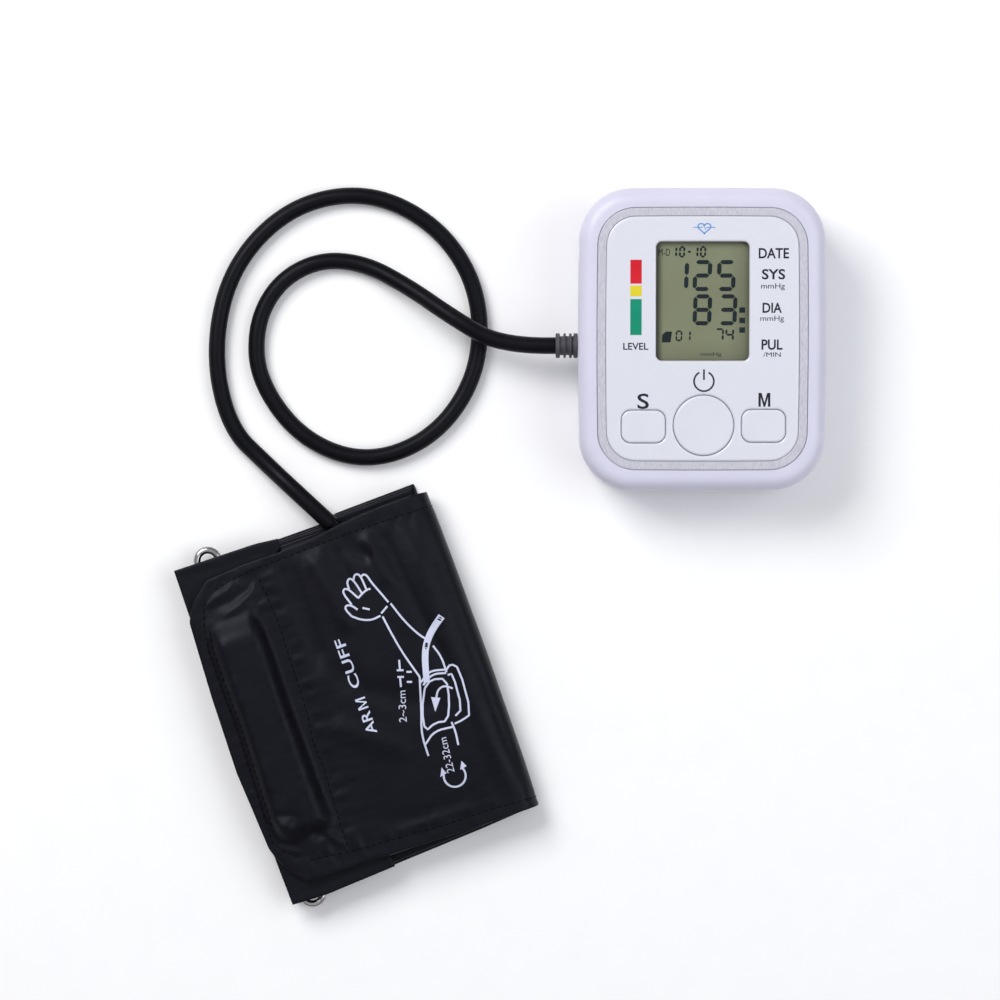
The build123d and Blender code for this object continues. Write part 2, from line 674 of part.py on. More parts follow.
def band_turns():
    """The two flat layers under the pocket and the folds at their ends."""
    t = BAND_THICKNESS
    upper = t + LAYER_GAP
    middle = (t + upper) / 2
    profile = Pos((BAND_FOLD_U + FOLD_U) / 2, t / 2) * Rectangle(FOLD_U - BAND_FOLD_U, t)
    profile += Pos((BAND_FOLD_U + FOLD_U) / 2, upper + t / 2) * Rectangle(FOLD_U - BAND_FOLD_U, t)
    reach = upper + t
    bend = Circle(reach / 2) - Circle(LAYER_GAP / 2)
    bend &= Pos(-reach / 2, 0) * Rectangle(reach, 2 * reach)
    profile += Pos(BAND_FOLD_U, middle) * bend
    profile += fold_arc(-90, CURL_ANGLE - 90, t)
    widest = max(w for _, w in BAND_OUTLINE) + 1
    return across_cuff(profile, widest) & cuff_slab(BAND_OUTLINE, 0, 2 * FOLD_Z, 4.0)


def bladder_pocket():
    """The pocket: hollow for the bladder and its port, cut back for the ring."""
    half = POCKET_HALF_WIDTH
    outline = [(POCKET_LEFT, -half), (FOLD_U, -half), (FOLD_U, half), (POCKET_LEFT, half)]
    pocket = cuff_slab(outline, POCKET_Z, POCKET_TOP, 5.0)
    low, high = POCKET_Z + POCKET_SKIN, POCKET_TOP - POCKET_SKIN
    for start, end in (CAVITY, PORT_SLOT):
        pocket -= box_between((*start, low), (*end, high))
    ring_space = box_between((-RING_LENGTH, -RING_LENGTH, -20), (STRAP_END, RING_LENGTH, 20))
    return pocket - CUFF_PLACE.inverse() * RING_PLACE * ring_space


def cuff_band():
    """The band's inner turns, the pocket on them and its margin over the ring."""
    margin = cuff_slab(MARGIN_OUTLINE, POCKET_TOP - MARGIN_THICKNESS, POCKET_TOP, 3.0)
    seam_reach = POCKET_HALF_WIDTH - 6
    seam = box_between((FOLD_U - 4, -seam_reach, POCKET_Z - 1), (FOLD_U, seam_reach, POCKET_Z + 0.5))
    return CUFF_PLACE * (band_turns() + bladder_pocket() + margin + seam)


def air_bladder():
    """The rubber bag in the pocket."""
    (u0, w0), (u1, w1) = CAVITY
    gap = BLADDER_GAP
    low, high = POCKET_Z + POCKET_SKIN + gap, POCKET_TOP - POCKET_SKIN - gap
    bag = box_between((u0 + gap, w0 + gap, low), (u1 - gap, w1 - gap, high))
    bag = fillet(bag.edges().filter_by(Axis.Z), 6.0)
    return CUFF_PLACE * bag


def loop_panel():
    """Loop pile on the pocket, which the hook patch grips."""
    return CUFF_PLACE * cuff_slab(LOOP_OUTLINE, POCKET_TOP, POCKET_TOP + LOOP_THICKNESS, 3.0)


def cuff_flap():
    """The band's free end, on top of everything else."""
    top = FLAP_Z + FLAP_THICKNESS
    flap = cuff_slab(FLAP_OUTLINE, FLAP_Z, top, 3.0)
    square_end = box_between((FOLD_U - 6, -FLAP_HALF_WIDTH, FLAP_Z), (FOLD_U, FLAP_HALF_WIDTH, top))
    return CUFF_PLACE * (flap + square_end)


def hook_patch():
    """Hook strip under the flap's free end."""
    return CUFF_PLACE * cuff_slab(HOOK_OUTLINE, FLAP_Z - HOOK_THICKNESS, FLAP_Z, 3.0)


def cuff_fold():
    """The cloth that turns from the lowest layer up into the flap."""
    bend = fold_arc(CURL_ANGLE - 89, 87.5, FLAP_THICKNESS)
    return CUFF_PLACE * across_cuff(bend, FLAP_HALF_WIDTH - 0.5)


def d_ring():
    """The long wire ring at the band's end."""
    middle = Rectangle(2 * RING_BAR, RING_LENGTH - RING_WIRE)
    outline = fillet(middle.vertices(), RING_BAR * 0.999)
    path = outline.face().outer_wire()
    start = Plane(origin=path @ 0, z_dir=path % 0)
    return RING_PLACE * sweep(start * Circle(RING_WIRE / 2), path=path)


def ring_loop():
    """The cloth loop that holds the ring's inner bar."""
    half = STRAP_LENGTH / 2
    left = RING_BAR - RING_BORE / 2 - 0.75
    strap = box_between((left, -half, -STRAP_BELOW), (STRAP_END, half, STRAP_ABOVE))
    strap = fillet(strap.edges().filter_by(Axis.Y).sort_by(Axis.X)[:2], 1.2)
    return RING_PLACE * (strap - rod_y(RING_BAR, -half, half, 0, RING_BORE))


# --- Write every sub-part ---------------------------------------------------------------------------
save("rear_casing", rear_casing())
save("front_casing", front_casing())
save("face_border", face_border())
save("face_plate", face_plate())
save("display_window", display_window())
save("lcd_glass", lcd_glass())
save("lcd_backlight", lcd_backlight())
save("lcd_holder", lcd_holder())
for name, (outline, place) in BUTTONS.items():
    save(name, button(outline, place))
save("main_board", main_board())
save("tact_switches", *tact_switches())
save("controller_chip", under_board(RectangleRounded(12, 12, 0.3), 1.6, (6, 22)))
save("board_parts", *board_parts())
save("buzzer", under_board(Circle(6), 5, (26, -24)))
save("pressure_sensor", pressure_sensor())
save("pump_motor", pump_motor())
save("pump_head", pump_head())
save("exhaust_valve", exhaust_valve())
save("air_manifold", air_manifold())
save("inner_tubes", *inner_tubes())
save("air_socket", air_socket())
save("batteries", *batteries())
save("battery_contacts", *battery_contacts())
save("battery_springs", *battery_springs())
save("battery_cover", battery_cover())
save("rubber_feet", *[column(x, y, 0, FOOT_THICKNESS, FOOT_DIAMETER) for x, y in FOOT_PLACES])
save("case_screws", *case_screws())
save("plug_sleeve", plug_sleeve())
save("plug_nozzle", plug_nozzle())
save("air_hose", air_hose())
save("hose_port", hose_port())
save("cuff_band", cuff_band())
save("air_bladder", air_bladder())
save("loop_panel", loop_panel())
save("ring_loop", ring_loop())
save("d_ring", d_ring())
save("cuff_flap", cuff_flap())
save("hook_patch", hook_patch())
save("cuff_fold", cuff_fold())
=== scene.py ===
"""Looks of an upper arm blood pressure monitor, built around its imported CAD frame.

Metres, in the CAD frame: +Z up, the unit's face towards the reader, who looks along +Y.
The cuff is drawn in its own flat frame, u along the band and w across it, which CUFF places.
"""

import json
from math import atan2, ceil, cos, hypot, pi, radians, sin

import bpy
import numpy as np
from mathutils import Matrix, Vector, noise
from mathutils.bvhtree import BVHTree


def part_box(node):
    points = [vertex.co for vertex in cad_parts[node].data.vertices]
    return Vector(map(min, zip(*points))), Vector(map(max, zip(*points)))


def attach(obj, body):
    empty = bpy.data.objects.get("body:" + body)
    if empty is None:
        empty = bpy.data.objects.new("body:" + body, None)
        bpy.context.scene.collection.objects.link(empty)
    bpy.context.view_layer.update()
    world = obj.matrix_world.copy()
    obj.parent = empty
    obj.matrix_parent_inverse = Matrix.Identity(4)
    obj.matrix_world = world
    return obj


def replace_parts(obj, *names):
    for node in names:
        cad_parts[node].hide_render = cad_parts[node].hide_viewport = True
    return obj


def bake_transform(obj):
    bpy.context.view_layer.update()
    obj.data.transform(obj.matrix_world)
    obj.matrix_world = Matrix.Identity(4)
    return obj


MM = 0.001
WINDOW_LIP = 1.5 * MM       # how far the display window reaches under the face on each side

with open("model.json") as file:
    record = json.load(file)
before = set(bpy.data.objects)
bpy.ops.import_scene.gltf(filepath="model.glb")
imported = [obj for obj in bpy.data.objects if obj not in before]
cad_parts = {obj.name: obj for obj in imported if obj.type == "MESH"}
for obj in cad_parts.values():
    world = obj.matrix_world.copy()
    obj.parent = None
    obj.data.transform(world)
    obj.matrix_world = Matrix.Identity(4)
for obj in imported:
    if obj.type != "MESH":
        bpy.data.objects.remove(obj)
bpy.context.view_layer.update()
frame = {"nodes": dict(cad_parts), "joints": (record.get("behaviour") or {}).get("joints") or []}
nodes = frame["nodes"]
joints = {joint["name"]: joint for joint in frame["joints"]}


# --- Camera, light and floor -----------------------------------------------
VIEW_CENTRE = (-84.0 * MM, -66.8 * MM)      # what the middle of the picture looks at
VIEW_WIDTH = 416.7 * MM                     # how much of the scene the picture spans
VIEW_LEVEL = 28.0 * MM                      # height at which it spans that
LENS = 200.0
SENSOR = 36.0
SKY_COLOUR = (0.93, 0.95, 1.0, 1)
SKY_SIDES = 0.25                            # strength of the surround near the horizon
SKY_OVERHEAD = 0.58
SKY_EDGE = (0.45, 0.95)                     # heights on the unit sky between which it brightens
LIGHTS = [                                  # name, place, size, power, colour
    ("key_light", (-0.80, 0.70, 1.15), 0.8, 17.0, (1.0, 0.99, 0.98)),
    ("fill_light", (0.9, -0.1, 1.2), 1.2, 8.5, (0.97, 0.98, 1.0)),
]
FLOOR_REACH = 9.0


def in_scene(name, data):
    """A new object in the scene."""
    placed = bpy.data.objects.new(name, data)
    bpy.context.scene.collection.objects.link(placed)
    return placed


def mesh_object(name, points, faces):
    """A new object with a mesh of these points and faces."""
    mesh = bpy.data.meshes.new(name)
    mesh.from_pydata(points, [], faces)
    return in_scene(name, mesh)


def make_camera():
    """A long lens straight above the object, with +Y up in the picture."""
    data = bpy.data.cameras.new("camera")
    data.lens = LENS
    data.sensor_width = SENSOR
    distance = VIEW_WIDTH * LENS / SENSOR
    data.clip_end = 3 * distance
    camera = in_scene("camera", data)
    camera.location = (*VIEW_CENTRE, VIEW_LEVEL + distance)
    bpy.context.scene.camera = camera


def area_light(name, place, size, power, colour):
    """A square soft box that points at the middle of the view."""
    data = bpy.data.lights.new(name, "AREA")
    data.size = size
    data.energy = power
    data.color = colour
    light = in_scene(name, data)
    light.location = place
    light.rotation_euler = (Vector((*VIEW_CENTRE, 0)) - Vector(place)).to_track_quat("-Z", "Y").to_euler()


def studio_sky():
    """A soft tent of light: bright overhead, dimmer towards the horizon."""
    world = bpy.data.worlds.new("studio")
    world.use_nodes = True
    direction = add_node(world, "TexCoord")["Generated"]
    height = add_node(world, "SeparateXYZ", {"Vector": direction})["Z"]
    strength = map_range(world, height, SKY_EDGE, (SKY_SIDES, SKY_OVERHEAD), interpolation_type="SMOOTHSTEP")
    background = world.node_tree.nodes["Background"]
    background.inputs["Color"].default_value = SKY_COLOUR
    world.node_tree.links.new(strength, background.inputs["Strength"])
    return world


def make_studio():
    """A bright surround, two soft boxes and a plain pale floor."""
    scene = bpy.context.scene
    scene.view_settings.view_transform = "Standard"
    scene.world = studio_sky()
    for light in LIGHTS:
        area_light(*light)
    r = FLOOR_REACH
    floor = mesh_object("floor", [(-r, -r, 0), (r, -r, 0), (r, r, 0), (-r, r, 0)], [(0, 1, 2, 3)])
    floor.data.materials.append(floor_paper())


# --- Material nodes --------------------------------------------------------
NOISE_SPAN = (0.3, 0.7)     # where most values of a noise or a wave lie
BEVEL_SAMPLES = 8
CLOUDS = 14 * MM            # size of the colour's and the gloss's unevenness on moulded pieces
GLOSS_CLOUDS = 5 * MM


def add_node(owner, kind, sockets=None, **settings):
    """The outputs of a new node, whose sockets take values or other nodes' outputs."""
    node = owner.node_tree.nodes.new("ShaderNode" + kind)
    for name, value in settings.items():
        setattr(node, name, value)
    for key, value in (sockets or {}).items():
        if isinstance(value, bpy.types.NodeSocket):
            owner.node_tree.links.new(value, node.inputs[key])
        else:
            node.inputs[key].default_value = value
    return node.outputs


def map_range(owner, value, source, target, **settings):
    """A value mapped from one span to another."""
    sockets = {"Value": value}
    for label, span in (("From ", source), ("To ", target)):
        sockets[label + "Min"], sockets[label + "Max"] = span
    return add_node(owner, "MapRange", sockets, **settings)["Result"]


def mix(owner, factor, first, second, **settings):
    """Two colours mixed."""
    sockets = {"Factor": factor, "A": first, "B": second}
    return add_node(owner, "Mix", sockets, data_type="RGBA", **settings)["Result"]


def shader_material(name, **settings):
    """A material whose Principled shader has these sockets set, spaces written as underscores."""
    material = bpy.data.materials.new(name)
    material.use_nodes = True
    for socket, value in settings.items():
        shader_input(material, socket.replace("_", " ")).default_value = value
    return material


def shader_input(material, socket):
    """A socket of a material's Principled shader."""
    return material.node_tree.nodes["Principled BSDF"].inputs[socket]


def feed(material, output, socket):
    """Links a node's output to a socket of the shader."""
    material.node_tree.links.new(output, shader_input(material, socket))


def own_place(material, stretch=(1, 1, 1), turn=0.0):
    """The part's own coordinates in metres, turned about Z and then stretched."""
    own = add_node(material, "TexCoord")["Object"]
    turned = add_node(material, "Mapping", {"Vector": own, "Rotation": (0, 0, -turn)})["Vector"]
    return add_node(material, "Mapping", {"Vector": turned, "Scale": stretch})["Vector"]


def grain(material, size, detail=3.0, stretch=(1, 1, 1), turn=0.0):
    """Noise whose grains are about this size, in metres."""
    sockets = {"Vector": own_place(material, stretch, turn), "Scale": 1 / size, "Detail": detail}
    return add_node(material, "TexNoise", sockets)["Fac"]


def threads(material, pitch, direction, turn=0.0):
    """A wave that repeats at the pitch along X or Y, for the ribs of a weave."""
    sockets = {"Vector": own_place(material, turn=turn), "Scale": pi / 10 / pitch}
    sockets.update({"Distortion": 0.6, "Detail": 1.0})
    return add_node(material, "TexWave", sockets, wave_type="BANDS", bands_direction=direction)["Fac"]


def calculate(material, operation, first, second):
    """A Math node on two outputs or numbers."""
    return add_node(material, "Math", {0: first, 1: second}, operation=operation)["Value"]


def tint(material, pattern, dark, light):
    """Base colour that wanders between two colours with a pattern."""
    share = map_range(material, pattern, NOISE_SPAN, (0.0, 1.0))
    feed(material, mix(material, share, (*dark, 1), (*light, 1)), "Base Color")


def paint_shade(material, axis, first, second):
    """Paints shade into the base colour: scales it by a factor that ramps along an axis, between two (place,
    factor).
    """
    along = add_node(material, "SeparateXYZ", {"Vector": own_place(material)})[axis]
    factor = map_range(material, along, *zip(first, second))
    colour = shader_input(material, "Base Color").links[0].from_socket
    feed(material, mix(material, 1.0, colour, factor, blend_type="MULTIPLY"), "Base Color")


def polish(material, pattern, low, high):
    """Roughness that wanders between two values with a pattern."""
    feed(material, map_range(material, pattern, NOISE_SPAN, (low, high)), "Roughness")


def relief(material, pattern, height):
    """Bump of this height in metres, on top of any bump already there."""
    sockets = {"Distance": height, "Height": pattern}
    normal = shader_input(material, "Normal")
    if normal.is_linked:
        sockets["Normal"] = normal.links[0].from_socket
    feed(material, add_node(material, "Bump", sockets)["Normal"], "Normal")


def soften_edges(material, radius):
    """Shades a moulded piece as if its sharp edges ran out softly over this radius."""
    edge = add_node(material, "Bevel", {"Radius": radius}, samples=BEVEL_SAMPLES)["Normal"]
    bump = shader_input(material, "Normal").links[0].from_node
    material.node_tree.links.new(edge, bump.inputs["Normal"])


# --- Materials -------------------------------------------------------------
def moulded(name, dark, light, smooth, rough, cell=0.5 * MM, height=0.008 * MM, **settings):
    """Moulded plastic or rubber: soft clouds of colour, uneven gloss and a fine texture."""
    material = shader_material(name, **settings)
    tint(material, grain(material, CLOUDS), dark, light)
    polish(material, grain(material, GLOSS_CLOUDS), smooth, rough)
    relief(material, grain(material, cell, 2.0), height)
    return material


def floor_paper():
    """Plain matt paper, nearly white."""
    return moulded("floor_paper", (0.94, 0.94, 0.945), (0.955, 0.955, 0.96), 0.85, 0.95)


def casing_plastic():
    """White moulded ABS with a faint lavender cast and a fine spark-eroded texture."""
    return moulded(
        "casing_plastic", (0.625, 0.615, 0.745), (0.65, 0.64, 0.77), 0.34, 0.44, 0.45 * MM, 0.010 * MM,
        Specular_IOR_Level=0.5, Subsurface_Weight=0.04, Subsurface_Scale=0.002,
    )


def brushed_metal():
    """The border: satin metal foil with fine streaks across it."""
    material = shader_material("brushed_border", Metallic=0.3, Specular_IOR_Level=0.5)
    streaks = grain(material, 0.2 * MM, 4.0, (1, 0.05, 1))
    tint(material, streaks, (0.47, 0.47, 0.535), (0.66, 0.66, 0.725))
    polish(material, streaks, 0.30, 0.48)
    relief(material, streaks, 0.012 * MM)
    return material


def panel_film():
    """The face plate's printed film: pearl white with a faint sparkle."""
    material = shader_material("panel_film", Metallic=0.08, Coat_Weight=0.25, Coat_Roughness=0.2)
    flakes = grain(material, 0.22 * MM, 2.0)
    tint(material, flakes, (0.66, 0.67, 0.745), (0.74, 0.75, 0.825))
    polish(material, grain(material, 3 * MM), 0.30, 0.38)
    relief(material, flakes, 0.004 * MM)
    soften_edges(material, 1.4 * MM)
    return material


def button_plastic():
    """The buttons' satin white, which the face's film matches."""
    material = moulded(
        "button_plastic", (0.67, 0.68, 0.75), (0.70, 0.71, 0.78), 0.30, 0.38, 0.3 * MM, 0.004 * MM,
        Coat_Weight=0.2, Coat_Roughness=0.25,
    )
    soften_edges(material, 0.6 * MM)
    return material


def window_plastic():
    """Clear acrylic, hard-coated: a thin see-through skin with a little gloss."""
    clear = (0.03, 0.035, 0.03, 1)
    material = shader_material("window_plastic", Base_Color=clear, Alpha=0.05, Specular_IOR_Level=0.3)
    polish(material, grain(material, 8 * MM), 0.05, 0.11)
    return material


def lcd_film():
    """Reflective liquid crystal cell: olive grey-green, with a painted shadow along its left and upper edges
    and lighter painted shade towards its right and lower edges.
    """
    material = shader_material("lcd_film", Specular_IOR_Level=0.35)
    tint(material, grain(material, 30 * MM, 1.0), (0.220, 0.236, 0.142), (0.250, 0.272, 0.170))
    low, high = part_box("display_window")
    left, right = low.x + WINDOW_LIP, high.x - WINDOW_LIP
    bottom, top = low.y + WINDOW_LIP, high.y - WINDOW_LIP
    # Painted shade: a painted shadow of the window's edge along the left and upper sides, and lighter painted
    # shade towards the right and the bottom.
    paint_shade(material, "X", (left, 0.26), (left + 3.0 * MM, 1.0))
    paint_shade(material, "X", (right - 10.0 * MM, 1.0), (right, 0.72))
    paint_shade(material, "Y", (top - 3.0 * MM, 1.0), (top, 0.62))
    paint_shade(material, "Y", (bottom, 0.80), (bottom + 9.0 * MM, 1.0))
    polish(material, grain(material, 2 * MM), 0.38, 0.5)
    relief(material, grain(material, 0.18 * MM, 1.0), 0.003 * MM)
    return material


def rubber(name, dark, light, smooth, rough, **settings):
    """Flexible rubber or PVC with a fine satin skin."""
    settings = settings or {"Specular_IOR_Level": 0.45}
    return moulded(name, dark, light, smooth, rough, 0.35 * MM, 0.012 * MM, **settings)


def hose_rubber():
    """Black rubber with a soft, low gloss."""
    return rubber(
        "hose_rubber", (0.0030, 0.0030, 0.0044), (0.0050, 0.0050, 0.0068), 0.36, 0.48,
        Specular_IOR_Level=0.11, Specular_Tint=(0.85, 0.88, 1.0, 1),
    )


def metal(name, dark, light, smooth, rough):
    """Bare or plated metal with faint polishing marks."""
    material = shader_material(name, Metallic=1.0)
    tint(material, grain(material, 4 * MM), dark, light)
    polish(material, grain(material, 1.2 * MM), smooth, rough)
    relief(material, grain(material, 0.4 * MM, 3.0, (1, 0.2, 1)), 0.004 * MM)
    return material


def circuit_board():
    """Green solder mask over copper, seen as slightly lighter tracks."""
    material = shader_material("circuit_board", Coat_Weight=0.3, Coat_Roughness=0.2)
    tracks = [threads(material, pitch, axis) for pitch, axis in ((2.2 * MM, "X"), (3.1 * MM, "Y"))]
    tracks = calculate(material, "MULTIPLY", *tracks)
    tint(material, tracks, (0.010, 0.085, 0.035), (0.03, 0.16, 0.07))
    polish(material, tracks, 0.3, 0.42)
    relief(material, tracks, 0.03 * MM)
    return material


def ink(name, dark, light):
    """Screen-printed ink, slightly uneven."""
    return moulded(name, dark, light, 0.45, 0.6, 0.25 * MM, 0.006 * MM, Specular_IOR_Level=0.2)


def nylon():
    """Black coated nylon: a fine weave along and across the cuff, with a cool, satin sheen."""
    material = shader_material(
        "cuff_nylon", Specular_IOR_Level=0.15, Specular_Tint=(0.82, 0.86, 1.0, 1), Sheen_Weight=0.01,
        Sheen_Roughness=0.4, Sheen_Tint=(0.75, 0.8, 1.0, 1),
    )
    ribs = [threads(material, 0.36 * MM, axis, CUFF_TURN) for axis in "XY"]
    weave = calculate(material, "MULTIPLY", calculate(material, "ADD", *ribs), 0.5)
    slubs = grain(material, 2.2 * MM, 4.0, (0.25, 1, 1), CUFF_TURN)
    tint(material, slubs, (0.0026, 0.0026, 0.0044), (0.0046, 0.0046, 0.0074))
    polish(material, grain(material, 9 * MM, 5.0), 0.32, 0.44)
    relief(material, weave, 0.03 * MM)
    relief(material, grain(material, 4.5 * MM, 4.0), 0.10 * MM)
    return material


def sewing_thread():
    """Black polyester thread, duller than the cloth."""
    return moulded(
        "sewing_thread", (0.0012, 0.0012, 0.0016), (0.0026, 0.0026, 0.0032), 0.6, 0.75, 0.1 * MM, 0.01 * MM,
        Specular_IOR_Level=0.05,
    )


def pile(name, dark, light, size, height):
    """The fuzz of loop tape, or the stubble of hook tape."""
    material = shader_material(name, Sheen_Weight=0.5, Sheen_Roughness=0.5, Specular_IOR_Level=0.2)
    tufts = grain(material, size, 4.0)
    tint(material, tufts, dark, light)
    polish(material, tufts, 0.75, 0.95)
    relief(material, tufts, height)
    return material


# --- Frames of the face and of the cuff ------------------------------------
FACE_UP = -Vector(joints["start_button_press"]["axis"]).normalized()
FACE_RIGHT = Vector((1, 0, 0))
FACE_AWAY = FACE_UP.cross(FACE_RIGHT)


def face_plane(node):
    """A frame on top of a node, parallel to the face, over the unit's middle."""
    highest = max(vertex.co.dot(FACE_UP) for vertex in nodes[node].data.vertices)
    origin = Vector((0, 0, highest / FACE_UP.z))
    return Matrix.Translation(origin) @ Matrix((FACE_RIGHT, FACE_AWAY, FACE_UP)).transposed().to_4x4()


FOLD_AXIS = Vector(joints["cuff_flap_open"]["axis"]).normalized()
FOLD_PLACE = Vector(joints["cuff_flap_open"]["pos_m"])
CUFF_TURN = atan2(FOLD_AXIS.y, FOLD_AXIS.x) - pi / 2
FOLD_U = 47.35 * MM
CUFF = (
    Matrix.Translation((FOLD_PLACE.x, FOLD_PLACE.y, 0))
    @ Matrix.Rotation(CUFF_TURN, 4, "Z")
    @ Matrix.Translation((-FOLD_U, 0, 0))
)


# --- Flat shapes and pieces ------------------------------------------------
def new_piece(name, points, faces, material, body, slot, smooth=True):
    """A mesh piece that rides on a body, or on none if body is None."""
    piece = mesh_object(name, [tuple(point) for point in points], faces)
    piece.data.validate()
    if smooth:
        piece.data.shade_smooth()
    piece.data.materials.append(material)
    if body:
        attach(piece, body)
    return piece


def joined(shapes):
    """Several (points, faces) shapes as one."""
    points, faces = [], []
    for shape_points, shape_faces in shapes:
        start = len(points)
        points += list(shape_points)
        faces += [[index + start for index in face] for face in shape_faces]
    return points, faces


def moved(shape, dx=0.0, dy=0.0, scale_x=1.0, scale_y=1.0, turn=0.0, slant=0.0):
    """A flat shape scaled, slanted, turned and moved."""
    points, faces = shape
    c, s = cos(turn), sin(turn)
    placed = []
    for x, y in points:
        x, y = x * scale_x + y * scale_y * slant, y * scale_y
        placed.append((x * c - y * s + dx, x * s + y * c + dy))
    return placed, faces


def polygon(corners):
    """A filled outline."""
    return list(corners), [list(range(len(corners)))]


def rectangle(left, right, low, high):
    """A filled box."""
    return polygon([(left, low), (right, low), (right, high), (left, high)])


def arc_points(centre, radius, start, end, steps):
    """Points on an arc, between two angles in degrees."""
    angles = [radians(start + (end - start) * step / steps) for step in range(steps + 1)]
    return [(centre[0] + radius * cos(a), centre[1] + radius * sin(a)) for a in angles]


def on_run(start, end, share):
    """The point at this share of the way between two points."""
    return tuple(a * (1 - share) + b * share for a, b in zip(start, end))


def divided(points, step):
    """A polyline with extra points, so that no run is longer than the step."""
    result = [points[0]]
    for start, end in zip(points, points[1:]):
        count = max(1, ceil(hypot(end[0] - start[0], end[1] - start[1]) / step))
        result += [on_run(start, end, k / count) for k in range(1, count + 1)]
    return result


def rounded(points, passes):
    """A polyline with its corners cut to a smooth curve."""
    for _ in range(passes):
        cut = [on_run(start, end, share) for start, end in zip(points, points[1:]) for share in (0.25, 0.75)]
        points = [points[0], *cut, points[-1]]
    return points


def stroke(points, width, ends=None):
    """A drawn line of this width, mitred at its corners. The width may change to ends."""
    count = len(points)
    left, right = [], []
    for index, (x, y) in enumerate(points):
        x0, y0 = points[max(index - 1, 0)]
        x1, y1 = points[min(index + 1, count - 1)]
        length = hypot(x1 - x0, y1 - y0) or 1.0
        half = width / 2 if ends is None else (width + (ends - width) * index / (count - 1)) / 2
        aside, ahead = (y1 - y0) / length * half, (x1 - x0) / length * half
        left.append((x - aside, y + ahead))
        right.append((x + aside, y - ahead))
    faces = [[k, count + k, count + k + 1, k + 1] for k in range(count - 1)]
    return left + right, faces


def lettering(text, bold):
    """Text in the built-in font as a flat shape, one unit high and starting at the origin."""
    curve = bpy.data.curves.new("lettering", "FONT")
    curve.body = text
    curve.offset = bold
    curve.resolution_u = 4
    letters = bpy.data.objects.new("lettering", curve)
    mesh = bpy.data.meshes.new_from_object(letters)
    points = [(vertex.co.x, vertex.co.y) for vertex in mesh.vertices]
    faces = [list(face.vertices) for face in mesh.polygons]
    bpy.data.objects.remove(letters)
    bpy.data.curves.remove(curve)
    bpy.data.meshes.remove(mesh)
    return points, faces


def fitted_text(text, centre, width, height, bold=0.0, turn=0.0):
    """Lettering that fills a box of this width and height about its centre."""
    points, faces = lettering(text, bold)
    xs, ys = zip(*points)
    scale_x = width / (max(xs) - min(xs))
    scale_y = height / (max(ys) - min(ys))
    middle_x, middle_y = (max(xs) + min(xs)) / 2, (max(ys) + min(ys)) / 2
    shape = moved((points, faces), -middle_x * scale_x, -middle_y * scale_y, scale_x, scale_y)
    return moved(shape, *centre, turn=turn)


def letter_m(centre, width, height, weight, turn=0.0):
    """A bold capital M from four strokes, which the built-in font can't make bolder."""
    side = (width - weight) / 2
    top = height / 2
    shapes = [rectangle(x - weight / 2, x + weight / 2, -top, top) for x in (-side, side)]
    for sign in (-1, 1):
        head = [(sign * side, top), (sign * (side - weight * 0.85), top)]
        foot = [(-0.5 * weight * sign, -top), (0.35 * weight * sign, -top)]
        shapes.append(polygon(head + foot))
    return [moved(shape, *centre, turn=turn) for shape in shapes]


# --- The hose --------------------------------------------------------------
HOSE_DIAMETER = 7.0 * MM
HOSE_FLOOR = 3.5            # height of its middle where it lies on the floor
HOSE_START = [(-60.75, -2.2, 18.0), (-83.5, -2.6, 18.0), (-104.5, 10.0, 18.0), (-122.0, 22.5, 9.0)]
HOSE_COIL = [
    (-141.0, 33.0), (-160.5, 34.5), (-177.5, 25.0), (-187.0, 7.0), (-186.0, -16.5), (-167.5, -41.5),
    (-139.5, -51.5), (-110.5, -40.0), (-92.6, -12.5), (-92.6, 21.5), (-109.5, 48.5), (-139.0, 63.5),
    (-172.0, 57.5), (-197.0, 32.0), (-205.0, -3.0), (-198.5, -36.0), (-182.0, -52.0),
]
HOSE_END = [(-169.0, -64.0, 9.4), (-157.0, -75.0, 9.4)]


def air_hose():
    """The rubber hose: one smooth spline from the plug to the cuff."""
    route = HOSE_START + [(x, y, HOSE_FLOOR) for x, y in HOSE_COIL] + HOSE_END
    curve = bpy.data.curves.new("hose", "CURVE")
    curve.dimensions = "3D"
    curve.bevel_depth = HOSE_DIAMETER / 2
    curve.bevel_resolution = 8
    curve.resolution_u = 16
    curve.use_fill_caps = True
    spline = curve.splines.new("NURBS")
    spline.points.add(len(route) - 1)
    for point, place in zip(spline.points, route):
        point.co = (*[value * MM for value in place], 1)
    spline.order_u = 3
    spline.use_endpoint_u = True
    hose = in_scene("hose", curve)
    curve.materials.append(hose_rubber())
    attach(hose, "cuff")
    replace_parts(hose, "air_hose")


